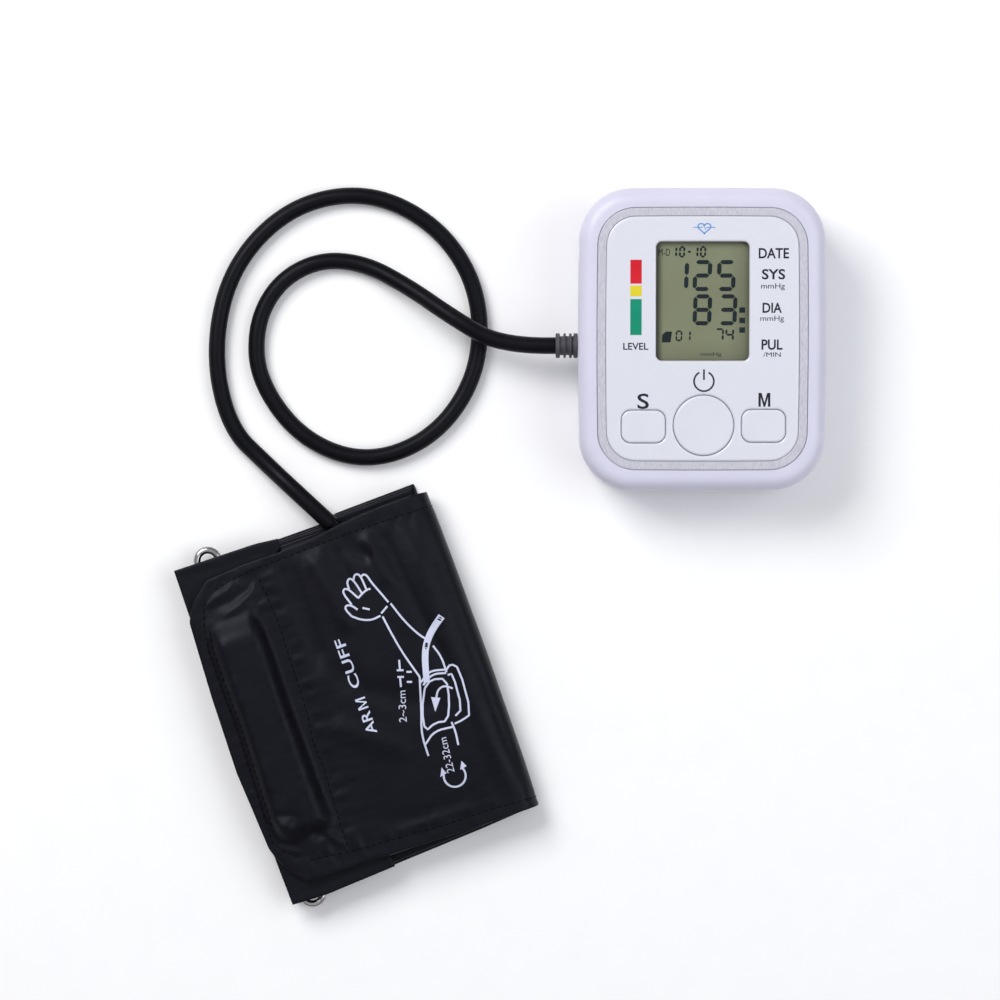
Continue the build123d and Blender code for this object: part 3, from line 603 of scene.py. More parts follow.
# --- The unit --------------------------------------------------------------
def dress_cad_nodes():
    """Better materials for the CAD nodes whose shape stays."""
    dressing = {
        casing_plastic(): ["rear_casing", "front_casing", "battery_cover"],
        panel_film(): ["face_plate"],
        brushed_metal(): ["face_border"],
        button_plastic(): ["start_button", "set_button", "memory_button"],
        window_plastic(): ["display_window"],
        lcd_film(): ["lcd_glass"],
        moulded("light_plastic", (0.72, 0.74, 0.72), (0.80, 0.82, 0.80), 0.3, 0.45):
            ["lcd_backlight", "lcd_holder", "exhaust_valve", "air_socket", "plug_nozzle"],
        circuit_board(): ["main_board"],
        moulded("dark_plastic", (0.015, 0.015, 0.017), (0.03, 0.03, 0.032), 0.35, 0.5):
            ["controller_chip", "buzzer", "pump_head"],
        metal("part_tin", (0.55, 0.55, 0.56), (0.75, 0.75, 0.76), 0.25, 0.4):
            ["board_parts", "tact_switches", "pressure_sensor", "pump_motor"],
        rubber("silicone_tube", (0.55, 0.57, 0.58), (0.66, 0.68, 0.69), 0.35, 0.5):
            ["air_manifold", "inner_tubes"],
        moulded("cell_sleeve", (0.02, 0.05, 0.13), (0.03, 0.08, 0.19), 0.25, 0.4): ["batteries"],
        metal("spring_metal", (0.45, 0.45, 0.46), (0.65, 0.65, 0.66), 0.25, 0.38):
            ["battery_contacts", "battery_springs", "case_screws"],
        rubber("foot_pad", (0.03, 0.03, 0.032), (0.05, 0.05, 0.052), 0.7, 0.85): ["rubber_feet"],
        rubber("plug_rubber", (0.055, 0.055, 0.065), (0.085, 0.085, 0.097), 0.45, 0.6): ["plug_sleeve"],
        hose_rubber(): ["hose_port"],
        rubber("bladder_sheet", (0.02, 0.02, 0.022), (0.04, 0.04, 0.042), 0.5, 0.65): ["air_bladder"],
        metal("ring_chrome", (0.40, 0.39, 0.40), (0.54, 0.53, 0.54), 0.08, 0.16): ["d_ring"],
    }
    for material, names in dressing.items():
        for name in names:
            slots = nodes[name].data.materials
            slots.clear()
            slots.append(material)


# Everything drawn on the face is in millimetres from the middle of what it lies on.
SEGMENTS = {                # which of the seven bars each character lights
    "0": "abcdef", "1": "bc", "2": "abged", "3": "abgcd", "4": "fgbc",
    "5": "afgcd", "7": "abc", "8": "abcdefg", "-": "g",
}
DIGIT_SLANT = 0.04
SEGMENT_GAP = 0.10          # between the ends of two bars, as a share of their width
PRINT_LIFT = 0.05           # how far above its plane a print's surface lies
FIGURES = [                 # characters, left edges, then low edge, width, height, width of a bar
    ("125", (-13.8, -4.2, 5.7), 4.3, 7.8, 12.9, 1.75),
    ("83", (-4.2, 6.3), -9.9, 7.8, 12.9, 1.75),
    ("74", (5.2, 9.4), -16.5, 3.6, 5.4, 0.8),
    ("01", (-11.2, -7.7), -16.5, 2.8, 4.5, 0.7),
    ("10-10", (-13.2, -9.9, -6.9, -4.4, -1.2), 18.2, 2.6, 4.8, 0.85),
]
DISPLAY_MARKS = [rectangle(15.3, 17.7, y, y + 2.3) for y in (-13.0, -9.0, -4.7)]
DISPLAY_PAGE = polygon([(-16.8, -17.0), (-13.2, -17.0), (-12.6, -12.5), (-15.2, -12.5), (-16.6, -13.8)])
DISPLAY_WORDS = [("M-D", (-15.9, 20.4), 4.8, 2.9), ("mmHg", (3.6, -22.1), 8.6, 2.0)]
LABELS = [                  # text, middle, width, height and how much bolder
    ("DATE", (29.4, 35.5), 12.5, 4.3, 0.02),
    ("SYS", (29.3, 26.8), 9.6, 4.3, 0.02),
    ("mmHg", (29.1, 21.6), 9.8, 2.9),
    ("DIA", (28.8, 12.9), 8.0, 4.2, 0.02),
    ("mmHg", (28.8, 8.2), 9.8, 2.9),
    ("PUL", (28.8, -2.4), 8.7, 4.3, 0.02),
    ("/MIN", (28.8, -6.5), 7.2, 1.9),
    ("LEVEL", (-27.7, -3.1), 10.4, 2.9, 0.014),
    ("S", (-24.6, -25.9), 4.8, 6.4, 0.012),
]
LETTER_M = ((25.7, -25.3), 4.9, 5.7, 0.95)
POWER_MIDDLE = (0.6, -17.6)
POWER_RADIUS = 4.1
POWER_GAP = 28.0            # degrees from the symbol's top to each end of its ring
POWER_LINE = 0.75
LEVEL_SIDES = (-30.0, -25.3)
LEVEL_BARS = {              # darker and lighter colour, low and high end
    "level_high": ((0.58, 0.008, 0.018), (0.66, 0.012, 0.028), 22.9, 32.8),
    "level_middle": ((0.66, 0.55, 0.018), (0.74, 0.62, 0.03), 17.7, 22.1),
    "level_normal": ((0.002, 0.235, 0.135), (0.003, 0.280, 0.165), 1.6, 16.5),
}
HEART_PLACE = (0.6, 46.0, 0)
HEART_STEPS = 60
HEART_SIZE = (2.64, 0.15)   # what the heart curve's two coordinates are multiplied by
HEART_PULSE = [(-4.6, 0.2), (-0.9, 0.2), (-0.2, 1.0), (0.5, -0.7), (0.9, 0.2), (4.6, 0.2)]


def bar(start, end, width):
    """One display bar: a strip with pointed ends."""
    (x0, y0), (x1, y1) = start, end
    length = hypot(x1 - x0, y1 - y0)
    ax, ay = (x1 - x0) / length, (y1 - y0) / length
    inset = width * (0.5 + SEGMENT_GAP)
    gap = width * SEGMENT_GAP
    half = width / 2
    lower = [(gap, 0), (inset, -half), (length - inset, -half)]
    upper = [(length - gap, 0), (length - inset, half), (inset, half)]
    return polygon([(x0 + ax * s - ay * t, y0 + ay * s + ax * t) for s, t in lower + upper])


def digit(character, left, low, width, height, stroke_width):
    """A seven-bar character whose box starts at its lower left corner."""
    half = stroke_width / 2
    x0, x1 = half, width - half
    y0, y1, y2 = half, height / 2, height - half
    ends = {
        "a": ((x0, y2), (x1, y2)), "b": ((x1, y1), (x1, y2)), "c": ((x1, y0), (x1, y1)),
        "d": ((x0, y0), (x1, y0)), "e": ((x0, y0), (x0, y1)), "f": ((x0, y1), (x0, y2)),
        "g": ((x0, y1), (x1, y1)),
    }
    bars = joined([bar(*ends[name], stroke_width) for name in SEGMENTS[character]])
    return moved(bars, left, low, slant=DIGIT_SLANT)


def display_shapes():
    """Everything that the display shows."""
    figures = [
        digit(character, left, *box)
        for text, lefts, *box in FIGURES for character, left in zip(text, lefts)
    ]
    words = [fitted_text(*word) for word in DISPLAY_WORDS]
    return [*figures, *DISPLAY_MARKS, DISPLAY_PAGE, *words]


def power_shapes():
    """The start button's symbol: an open ring with a line down into it."""
    x, y = POWER_MIDDLE
    ring = arc_points(POWER_MIDDLE, POWER_RADIUS, 90 + POWER_GAP, 450 - POWER_GAP, 48)
    return [stroke(ring, POWER_LINE), stroke([(x, y + 4.9), (x, y + 0.6)], POWER_LINE)]


def heart_shapes():
    """A small generic mark: a heart's outline with a pulse line across it."""
    heart = []
    for step in range(HEART_STEPS + 1):
        a = 2 * pi * step / HEART_STEPS
        up = 13 * cos(a) - 5 * cos(2 * a) - 2 * cos(3 * a) - cos(4 * a)
        heart.append((HEART_SIZE[0] * sin(a) ** 3, HEART_SIZE[1] * up))
    return [stroke(heart, 0.55), stroke(HEART_PULSE, 0.36)]


def film(name, shapes, place, material, slot):
    """Flat shapes as a thin print on a plane of the unit, in the plane's own x and y."""
    points, faces = joined(shapes)
    top = [place @ Vector((x, y, PRINT_LIFT)) for x, y in points]
    new_piece(name, top, faces, material, "monitor", slot, smooth=False)


def unit_prints():
    """Display segments, labels, level bar and mark on the unit's face."""
    scale = Matrix.Scale(MM, 4)
    plate = face_plane("face_plate") @ scale
    ys = [vertex.co.dot(FACE_AWAY) for vertex in nodes["display_window"].data.vertices]
    window_y = ((min(ys) + max(ys)) / 2 - plate.translation.dot(FACE_AWAY)) / MM
    cell = face_plane("lcd_glass") @ scale @ Matrix.Translation((0, window_y, 0))
    segment_ink = ink("segment_ink", (0.006, 0.013, 0.018), (0.010, 0.020, 0.026))
    film("display_segments", display_shapes(), cell, segment_ink, "lcd_cell")

    black = ink("label_ink", (0.012, 0.012, 0.020), (0.020, 0.020, 0.030))
    labels = [fitted_text(*label) for label in LABELS] + letter_m(*LETTER_M)
    film("unit_labels", labels, plate, black, "panel_silver")
    grey = ink("power_ink", (0.035, 0.035, 0.05), (0.055, 0.055, 0.07))
    film("power_symbol", power_shapes(), plate, grey, "panel_silver")
    for name, (dark, light, low, high) in LEVEL_BARS.items():
        shapes = [rectangle(*LEVEL_SIDES, low, high)]
        film(name, shapes, plate, ink(name + "_ink", dark, light), "panel_silver")
    blue = ink("mark_ink", (0.10, 0.28, 0.60), (0.14, 0.34, 0.68))
    film("heart_mark", heart_shapes(), plate @ Matrix.Translation(HEART_PLACE), blue, "panel_silver")


# --- The cuff: heights, outlines and grids ---------------------------------
FOLD_Z = FOLD_PLACE.z                       # the fold turns about this height
FLAP_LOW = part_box("cuff_flap")[0].z
FLAP_MIDDLE = (FLAP_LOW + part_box("cuff_flap")[1].z) / 2
FOLD_RADIUS = FLAP_MIDDLE - FOLD_Z
HOOK_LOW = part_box("hook_patch")[0].z
POCKET_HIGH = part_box("loop_panel")[0].z
POCKET_LOW = 5.8 * MM
POCKET_MIDDLE = (POCKET_LOW + POCKET_HIGH) / 2
BAND_HALF = 1.3 * MM                        # half the thickness of one padded layer
BAND_GAP = 0.3 * MM
BAND_FOLD_U = -53.0 * MM
SEAM_HALF = 0.45 * MM                       # half the flap's thickness where it is sewn
HINGE = Vector((FOLD_U, 0, FOLD_Z))


def through(points):
    """A function that interpolates these (x, y) pairs in millimetres, and works in metres."""
    xs, ys = np.array(points).T * MM
    return lambda x: np.interp(x, xs, ys)


# Edges and sewn lines of the flap and the band: u at some w where the line runs across the band,
# w at some u where it runs along it.
FLAP_LEFT = through([
    (-67.5, -47.0), (-60.0, -53.0), (-51.0, -57.4), (-14.5, -59.6), (18.4, -58.8), (52.0, -57.0),
    (60.0, -52.0), (66.0, -44.0),
])
SEAM_LEFT = through([
    (-67.5, -43.0), (-58.0, -44.5), (-52.5, -51.8), (-46.6, -55.2), (3.5, -53.1), (21.0, -53.5),
    (39.0, -53.2), (47.2, -51.6), (56.2, -49.0), (59.5, -44.5), (66.0, -41.5),
])
SEAM_MIDDLE = through([
    (-68.0, -26.2), (-59.3, -26.0), (-40.0, -25.3), (-25.0, -24.3), (-12.4, -24.9), (-2.0, -23.2),
    (17.0, -22.5), (39.0, -21.7), (48.7, -22.3), (63.8, -23.6), (67.0, -23.8),
])
EDGE_LOW = through([
    (-59.0, -67.0), (-47.0, -67.5), (-22.0, -67.7), (-6.0, -68.5), (20.0, -69.4), (56.0, -70.0),
])
SEAM_LOW = through([
    (-59.0, -48.5), (-54.0, -51.5), (-51.0, -54.0), (-47.7, -56.8), (-41.4, -59.1), (-26.7, -61.2),
    (-12.5, -62.4), (2.0, -63.1), (14.0, -64.2), (34.0, -64.5), (44.5, -65.1), (56.0, -66.1),
])
SEAM_HIGH = through([
    (-58.0, 51.0), (-53.0, 55.5), (-49.0, 58.3), (-43.0, 60.5), (-36.0, 62.3), (-24.0, 63.5),
    (17.0, 64.3), (40.0, 64.1), (55.0, 63.5),
])
EDGE_HIGH = through([
    (-58.0, 62.0), (-44.0, 66.0), (-28.0, 67.1), (-2.0, 66.8), (10.0, 68.6), (25.0, 70.3), (44.0, 71.0),
    (56.0, 70.0),
])
BAND_HIGH = through([
    (-57.0, 74.0), (-20.0, 73.6), (-11.0, 72.2), (8.0, 72.2), (16.0, 74.4), (52.0, 75.0), (53.0, 71.0),
    (57.0, 70.0),
])
BAND_LOW = through([(-57.0, -74.4), (-41.7, -75.6), (-7.7, -73.6), (30.0, -71.8), (57.0, -70.0)])


def level(value):
    """The same value everywhere."""
    return lambda x: np.full_like(x, value)


def between(first, second, share):
    """A curve part of the way between two curves."""
    return lambda x: first(x) * (1 - share) + second(x) * share


def even(count):
    """Shares that split a span evenly, without its start."""
    return [(index + 1) / count for index in range(count)]


def lines(curves, share_lists):
    """Grid lines between successive curves, split at these shares."""
    result = [curves[0]]
    for first, second, shares in zip(curves, curves[1:], share_lists):
        result += [between(first, second, share) for share in shares]
    return result


def curved_grid(columns, rows):
    """Where every column (u as a function of w) crosses every row (w as a function of u)."""
    u, w = np.zeros((2, len(columns), len(rows)))
    for _ in range(GRID_PASSES):
        u = np.array([column(w[index]) for index, column in enumerate(columns)])
        w = np.array([row(u[:, index]) for index, row in enumerate(rows)]).T
    return u, w


def from_edge(u, w, columns, rows):
    """How far each grid point is from its sheet's nearest edge."""
    return np.minimum.reduce([w - rows[0](u), rows[-1](u) - w, u - columns[0](w), columns[-1](w) - u])


def grid_faces(count, rows):
    """Quads of a grid of points, numbered row by row."""
    corners = [i * rows + j for i in range(count - 1) for j in range(rows - 1)]
    return [[corner, corner + rows, corner + rows + 1, corner + 1] for corner in corners]


def cuff_points(grid):
    """Grid points taken from the cuff's frame into the part's."""
    turned = np.array(CUFF)
    return grid @ turned[:3, :3].T + turned[:3, 3]


def sheet(name, upper, lower, material, body, slot):
    """A smooth watertight piece between two grids in the cuff's frame that share their border."""
    upper, lower = cuff_points(upper), cuff_points(lower)
    count, rows, _ = upper.shape
    points = upper.reshape(-1, 3).tolist()
    beneath = np.arange(count * rows).reshape(count, rows)
    for i in range(1, count - 1):
        for j in range(1, rows - 1):
            beneath[i, j] = len(points)
            points.append(lower[i, j])
    faces = grid_faces(count, rows)
    for i in range(count - 1):
        for j in range(rows - 1):
            corners = [(i, j), (i, j + 1), (i + 1, j + 1), (i + 1, j)]
            faces.append([int(beneath[corner]) for corner in corners])
    return smoothed(new_piece(name, points, faces, material, body, slot))


def smoothed(piece):
    """Adds a subdivision surface to a piece and applies it."""
    piece.modifiers.new("smooth", "SUBSURF").levels = 1
    graph = bpy.context.evaluated_depsgraph_get()
    mesh = bpy.data.meshes.new_from_object(piece.evaluated_get(graph))
    piece.modifiers.clear()
    old, name = piece.data, piece.data.name
    piece.data = mesh
    bpy.data.meshes.remove(old)
    mesh.name = name
    mesh.shade_smooth()
    return piece


def loft(rings):
    """A closed tube through rings of points, with both ends capped."""
    size = len(rings[0])
    points = [point for ring in rings for point in ring]
    faces = []
    for low in range(0, len(points) - size, size):
        for k in range(size):
            n = (k + 1) % size
            faces.append([low + k, low + n, low + size + n, low + size + k])
    faces += [list(range(size))[::-1], list(range(len(points) - size, len(points)))]
    return points, faces


def edge_profile(distance, half):
    """Half thickness that rounds off to nothing at a cut edge."""
    share = np.clip(distance / (1.6 * half), 0, 1)
    return half * np.sqrt(1 - (1 - share) ** 2)


def ramp(distance, reach):
    """A soft step from 0 to 1 over a reach."""
    share = np.clip(distance / reach, 0, 1)
    return share * share * (3 - 2 * share)


def groove(distance, width):
    """1 on a line, fading to 0 a few widths away."""
    return np.exp(-((distance / width) ** 2))


def smooth_noise(u, w, size, seed):
    """Gentle waves, from -1 to 1, whose size is in metres."""
    flat = [noise.noise((a / size, b / size, seed)) for a, b in zip(u.ravel(), w.ravel())]
    return np.array(flat).reshape(u.shape)


# --- The cuff's top flap, by cloth simulation ------------------------------
SIMULATION_SCALE = 10.0     # the solver likes cloth of about a metre
SIMULATION_FRAMES = 22
CLOTH = {                   # settings of the cloth that is blown up between its sewn lines
    "quality": 5, "mass": 0.3, "air_damping": 2.0, "tension_stiffness": 12,
    "compression_stiffness": 12, "shear_stiffness": 6, "bending_stiffness": 0.12,
    "use_pressure": True, "uniform_pressure_force": 2.4,
}
PUSH_EDGE = 0.16            # the pressure's share outside the seams, in the pillow and beyond it
PUSH_PILLOW = 1.0
PUSH_MAIN = 0.22
CLOTH_RIPPLE = 0.02 * MM    # unevenness of the flat cloth, which its wrinkles start from
PUFF_LIMIT = 5.0 * MM
FOLD_END_U = 70.75 * MM     # length of the flap and its fold from the cuff's u origin
DROOP = 0.9 * MM            # how far the flap's free edge hangs, and where it starts to
DROOP_U = -50.5 * MM
DROOP_REACH = 9 * MM

CREASES = [                 # points, width, height: soft folds pressed into the filled flap
    ([(-31, 47), (-27, 43.5), (-25.3, 33), (-26, 18), (-26.5, 3), (-26.6, -24), (-27.4, -51)], 3.2, -2.2),
    ([(-30, 46), (-25.8, 42), (-24.8, 30), (-25.2, 8), (-25.8, -12)], 3.0, -1.7),
    ([(-23.6, 62.6), (-28, 57), (-37.7, 54.2), (-45, 54.2)], 1.2, -1.1),
    ([(-23.6, 61), (-23.9, 55), (-25.5, 51), (-30, 48.4)], 1.2, -1.1),
    ([(-24.6, 60), (-28, 54), (-36, 50.6), (-44, 49)], 1.3, 0.9),
    ([(-48, 56), (-41, 57.6), (-33, 60.4)], 1.1, 0.7),
    ([(-54, -36), (-53.4, -43), (-50, -50), (-46, -50.6)], 1.4, -1.2),
    ([(-53, -36), (-41.5, -38.8), (-44, -48.6)], 1.0, -0.8),
    ([(-51.5, -41), (-46.5, -42), (-47, -48)], 1.6, 0.8),
    ([(-37.5, -46), (-35.4, -52.5)], 2.2, -1.7),
    ([(-33, -49), (-29, -56), (-25, -59)], 1.3, 0.8),
    ([(-32.6, 30), (-33.2, 5), (-34, -20), (-33.6, -46)], 1.2, 0.35),
    ([(-45, 44), (-47.5, 20), (-49, -10), (-49.5, -32)], 2.4, 0.35),
    ([(-10.2, 62), (-10.6, 47), (-9.8, 30), (-11, 12)], 4.0, -1.2),
    ([(0, 63.5), (2.5, 52), (4.4, 36), (5.6, 24)], 4.0, 1.4),
    ([(10.6, 62), (11.6, 50), (13.6, 38)], 2.4, -1.2),
    ([(15.4, 63.4), (19.4, 56), (24.6, 51)], 2.2, -1.4),
    ([(24, 63), (26.5, 52), (28, 36)], 2.8, 1.0),
    ([(32.4, 62), (32.6, 50), (34, 36), (37, 10), (39, -10)], 2.4, -1.2),
    ([(41.5, 62), (42.6, 34), (43.6, 2), (45, -34), (46.5, -60)], 3.2, 1.0),
    ([(49.4, 62), (49.6, 20), (50.4, -20), (51.6, -60)], 1.3, -0.9),
    ([(-8.7, 16), (3.6, 0), (20, -11), (34, -16)], 5.0, -1.0),
    ([(-16, -8), (-4, -18), (14, -30)], 5.0, 0.9),
    ([(-12, -54), (5.6, -56.4), (22, -56.6), (36, -54)], 2.6, -0.55),
    ([(-14, -60.4), (8, -60.6), (28, -61.4), (42, -63)], 1.4, 0.45),
]
CREASE_FADE = 6             # a crease fades in and out over one part in this many of its length
GATHER_PITCH = 3.3 * MM     # puckers along a seam: how far apart, how far they reach, how high
GATHER_REACH = 5.0 * MM
GATHER_HEIGHT = 1.1 * MM
GATHER_STRETCH = 0.22       # how slowly they change on their way out from the seam
PILLOW_HEIGHT = 3.9 * MM    # how much further the filled strip stands up between the left seams
PILLOW_RIGHT = -25.6 * MM
PILLOW_SLOPE = 7.6 * MM
PILLOW_HIGH = 49.5 * MM
PILLOW_LOW = -51.5 * MM
PILLOW_RISES = (6 * MM, 9 * MM, 12 * MM)    # slopes of its left, lower and upper ends
LOOSE_REACH = 6 * MM        # how far from a cut edge the flap's cloth is quite free
SINK_LIMIT = 0.2 * MM       # how far the filled cloth may sink below the sewn height
THINNEST = 0.6              # what creases leave, as a share of the sewn height
BACK_PUFF = 0.35 * MM       # how far the under side stands out between the seams

EDGE_SHARES = [0.06, 0.16, 0.32, 0.55, 0.78, 1.0]     # finer next to a cut edge
BACK_SHARES = [1 - share for share in reversed(EDGE_SHARES[:-1])] + [1.0]
GRID_PASSES = 12            # of finding where curved columns and rows cross
SEAM_COLUMN = len(EDGE_SHARES)              # grid lines that are sewn
MIDDLE_COLUMN = SEAM_COLUMN + 20
FOLD_COLUMN = MIDDLE_COLUMN + 48
FOLD_SPANS = 16
LOW_ROW = len(EDGE_SHARES)
HIGH_ROW = LOW_ROW + 84


def flap_grid():
    """The flap's grid on the flat, from its free end to the start of the fold at the bottom."""
    columns = lines(
        [FLAP_LEFT, SEAM_LEFT, SEAM_MIDDLE, level(FOLD_U), level(FOLD_END_U)],
        [EDGE_SHARES, even(MIDDLE_COLUMN - SEAM_COLUMN), even(FOLD_COLUMN - MIDDLE_COLUMN), even(FOLD_SPANS)],
    )
    rows = lines(
        [EDGE_LOW, SEAM_LOW, SEAM_HIGH, EDGE_HIGH],
        [EDGE_SHARES, even(HIGH_ROW - LOW_ROW), BACK_SHARES],
    )
    return columns, rows


def flap_groups(shape):
    """Which grid points are sewn down, and how hard each is pushed up."""
    inside = slice(LOW_ROW, HIGH_ROW + 1)
    sewn = np.zeros(shape)
    sewn[SEAM_COLUMN:, [LOW_ROW, HIGH_ROW]] = 1
    sewn[[SEAM_COLUMN, MIDDLE_COLUMN], inside] = 1
    sewn[:2], sewn[-2:], sewn[:, :2], sewn[:, -2:] = 1, 1, 1, 1
    push = np.full(shape, PUSH_EDGE)
    push[SEAM_COLUMN:MIDDLE_COLUMN + 1, inside] = PUSH_PILLOW
    push[MIDDLE_COLUMN + 1:, inside] = PUSH_MAIN
    return sewn, push


def weight_group(piece, name, values):
    """A vertex group with one weight per grid point."""
    group = piece.vertex_groups.new(name=name)
    for index, value in enumerate(values.ravel()):
        if value > 0:
            group.add([index], float(value), "REPLACE")
    return name


def simulate_flap(u, w):
    """Inflates the flat cloth between its sewn lines and returns how far each point moved."""
    ripple = CLOTH_RIPPLE * smooth_noise(u, w, 3.0 * MM, 4.0)
    flat = np.stack([u, w, ripple], axis=-1) * SIMULATION_SCALE
    cloth_object = mesh_object("flap_cloth", flat.reshape(-1, 3).tolist(), grid_faces(*u.shape))
    mesh, scene = cloth_object.data, bpy.context.scene
    sewn, push = flap_groups(u.shape)
    cloth = cloth_object.modifiers.new("cloth", "CLOTH")
    for name, value in CLOTH.items():
        setattr(cloth.settings, name, value)
    cloth.settings.vertex_group_mass = weight_group(cloth_object, "sewn", sewn)
    cloth.settings.vertex_group_pressure = weight_group(cloth_object, "push", push)
    cloth.settings.effector_weights.gravity = 0
    cloth.collision_settings.use_collision = False
    cloth.collision_settings.use_self_collision = False
    cloth.point_cache.frame_start = 1
    cloth.point_cache.frame_end = SIMULATION_FRAMES
    for number in range(1, SIMULATION_FRAMES + 1):
        scene.frame_set(number)
    graph = bpy.context.evaluated_depsgraph_get()
    result = cloth_object.evaluated_get(graph).to_mesh()
    filled = np.zeros(flat.size)
    result.vertices.foreach_get("co", filled)
    scene.frame_set(1)
    bpy.data.objects.remove(cloth_object)
    bpy.data.meshes.remove(mesh)
    travel = (filled.reshape(flat.shape) - flat) / SIMULATION_SCALE
    return np.clip(travel, -PUFF_LIMIT, PUFF_LIMIT)


def crease(u, w, points, width):
    """1 on a drawn line, in millimetres, fading to 0 at a few widths away and at its ends."""
    best = np.full(u.shape, np.inf)
    along = np.zeros_like(u)
    runs = list(zip(points, points[1:]))
    for index, ((u0, w0), (u1, w1)) in enumerate(runs):
        du, dw = (u1 - u0) * MM, (w1 - w0) * MM
        far_u, far_w = u - u0 * MM, w - w0 * MM
        share = np.clip((far_u * du + far_w * dw) / (du * du + dw * dw), 0, 1)
        distance = np.hypot(far_u - share * du, far_w - share * dw)
        along = np.where(distance < best, (index + share) / len(runs), along)
        best = np.minimum(best, distance)
    return groove(best, width * MM) * np.clip(np.minimum(along, 1 - along) * CREASE_FADE, 0, 1)


def gathers(distance, along, seed):
    """Puckers that run away from a seam on both sides and fade out."""
    waves = smooth_noise(along, GATHER_STRETCH * distance, GATHER_PITCH, seed)
    far = np.abs(distance)
    return waves * np.exp(-far / GATHER_REACH) * np.clip(far / MM, 0, 1)


def seam_puckers(u, w):
    """How the cloth is drawn up beside each of the four sewn lines."""
    seams = [
        (u - SEAM_LEFT(w), w, 21.0), (u - SEAM_MIDDLE(w), w, 22.0),
        (w - SEAM_LOW(u), u, 23.0), (w - SEAM_HIGH(u), u, 24.0),
    ]
    return GATHER_HEIGHT * sum(gathers(*seam) for seam in seams)


def pillow(u, w):
    """The strip beside the flap's free end, filled more firmly than the rest."""
    left, low, high = PILLOW_RISES
    sides = ramp(u - SEAM_LEFT(w), left) * ramp(PILLOW_RIGHT - u, PILLOW_SLOPE)
    return PILLOW_HEIGHT * sides * ramp(w - PILLOW_LOW, low) * ramp(PILLOW_HIGH - w, high)


def around_fold(u, w, height):
    """Flap points: flat up to the fold, then round it; height is outwards from mid-thickness."""
    angle = pi / 2 - np.maximum(u - FOLD_U, 0) / FOLD_RADIUS
    radius = FOLD_RADIUS + height
    beyond = u > FOLD_U
    x = np.where(beyond, FOLD_U + radius * np.cos(angle), u)
    z = np.where(beyond, FOLD_Z + radius * np.sin(angle), FLAP_MIDDLE + height)
    return np.stack([x, w, z - DROOP * ramp(DROOP_U - u, DROOP_REACH)], axis=-1)


def flap_surfaces():
    """Upper and lower skins of the flap and its fold."""
    columns, rows = flap_grid()
    u, w = curved_grid(columns, rows)
    travel = simulate_flap(u, w)
    edge = from_edge(u, w, columns, rows)
    loose = np.clip(edge / LOOSE_REACH, 0, 1) * (1 - flap_groups(u.shape)[0])
    half = edge_profile(edge, SEAM_HALF)
    folds = sum(height * MM * crease(u, w, points, width) for points, width, height in CREASES)
    upper = half + np.maximum(travel[..., 2], -SINK_LIMIT) * (edge > 0)
    upper += (folds + pillow(u, w) + seam_puckers(u, w)) * loose
    upper = np.maximum(upper, half * THINNEST)
    lower = -half - BACK_PUFF * loose
    return around_fold(u + travel[..., 0], w + travel[..., 1], upper), around_fold(u, w, lower)


def blend_flap(piece):
    """Bakes a piece's placement into its mesh."""
    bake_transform(piece)


def make_flap(cloth):
    """The free end of the band with the fold that carries it, as one padded piece."""
    flap = sheet("cuff_cloth", *flap_surfaces(), cloth, None, "cuff_nylon")
    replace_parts(flap, "cuff_flap", "cuff_fold")
    return flap


# --- The cuff's lower layers -----------------------------------------------
BAND_START = -62            # degrees round the right fold where the lower turns begin
BAND_NARROWING = (0.9 * MM, 1.1 * MM)       # how much narrower the upper turn is, high and low
BAND_SHARES = [0, 0.0015, *np.linspace(0.004, 0.996, 150), 0.9985, 1]
BAND_ACROSS = [0, 0.0025, 0.0065, *np.linspace(0.013, 0.987, 60), 0.9935, 0.9975, 1]
BAND_WAVE = 0.05 * MM
HEM_WIDTH = 0.7 * MM        # the sunk line of a hem: width, then distance from the edge and depth
BAND_HEM = (4.5 * MM, 0.3 * MM)
MARGIN_HEM = (4.0 * MM, 0.22 * MM)
POCKET_LEFT = through([(-69.0, -37.0), (69.0, -31.7)])
POCKET_RIGHT = 47.2 * MM
POCKET_HALF_WIDTH = 69.0 * MM
MARGIN_LOW = through([(-57.0, -74.6), (-41.7, -75.4), (-10.0, -73.8)])
MARGIN_HIGH = through([(-57.0, 74.4), (-20.0, 73.6), (-10.0, 72.4)])
MARGIN_LEFT = through([(-75.4, -56.3), (-40.0, -56.9), (30.0, -56.6), (74.4, -56.0)])
MARGIN_RIGHT = through([
    (-75.4, -10.0), (-68.0, -10.0), (-62.0, -25.0), (62.0, -25.0), (67.0, -10.0), (74.4, -10.0),
])
MARGIN_COLUMNS = [0.008, 0.02, 0.04, *even(24)[1:-1], 0.985, 1.0]
MARGIN_ROWS = [0.003, 0.007, *even(70)[:-1], 0.993, 0.997, 1.0]
MARGIN_HALF = 0.5 * MM
MARGIN_LEVEL = 12.35 * MM
TAPE_STEP = 1.0 * MM
TAPE_EDGE = 0.9 * MM        # how far in from its cut edge a tape reaches its full thickness
RING_BODY_PLACE = Vector(joints["d_ring_swing"]["pos_m"])
RING_TURN = atan2(joints["d_ring_swing"]["axis"][1], joints["d_ring_swing"]["axis"][0]) - pi / 2
STRAP_RADIUS = 2.1 * MM     # the strap round the ring's bar: outside, thickness, length of its tails
STRAP_WALL = 0.9 * MM
STRAP_TAIL = 4.9 * MM
STRAP_SLIT = 0.02 * MM      # half the gap between the tails
STRAP_END = 1.5 * MM        # how much shorter than its CAD solid it is at each end


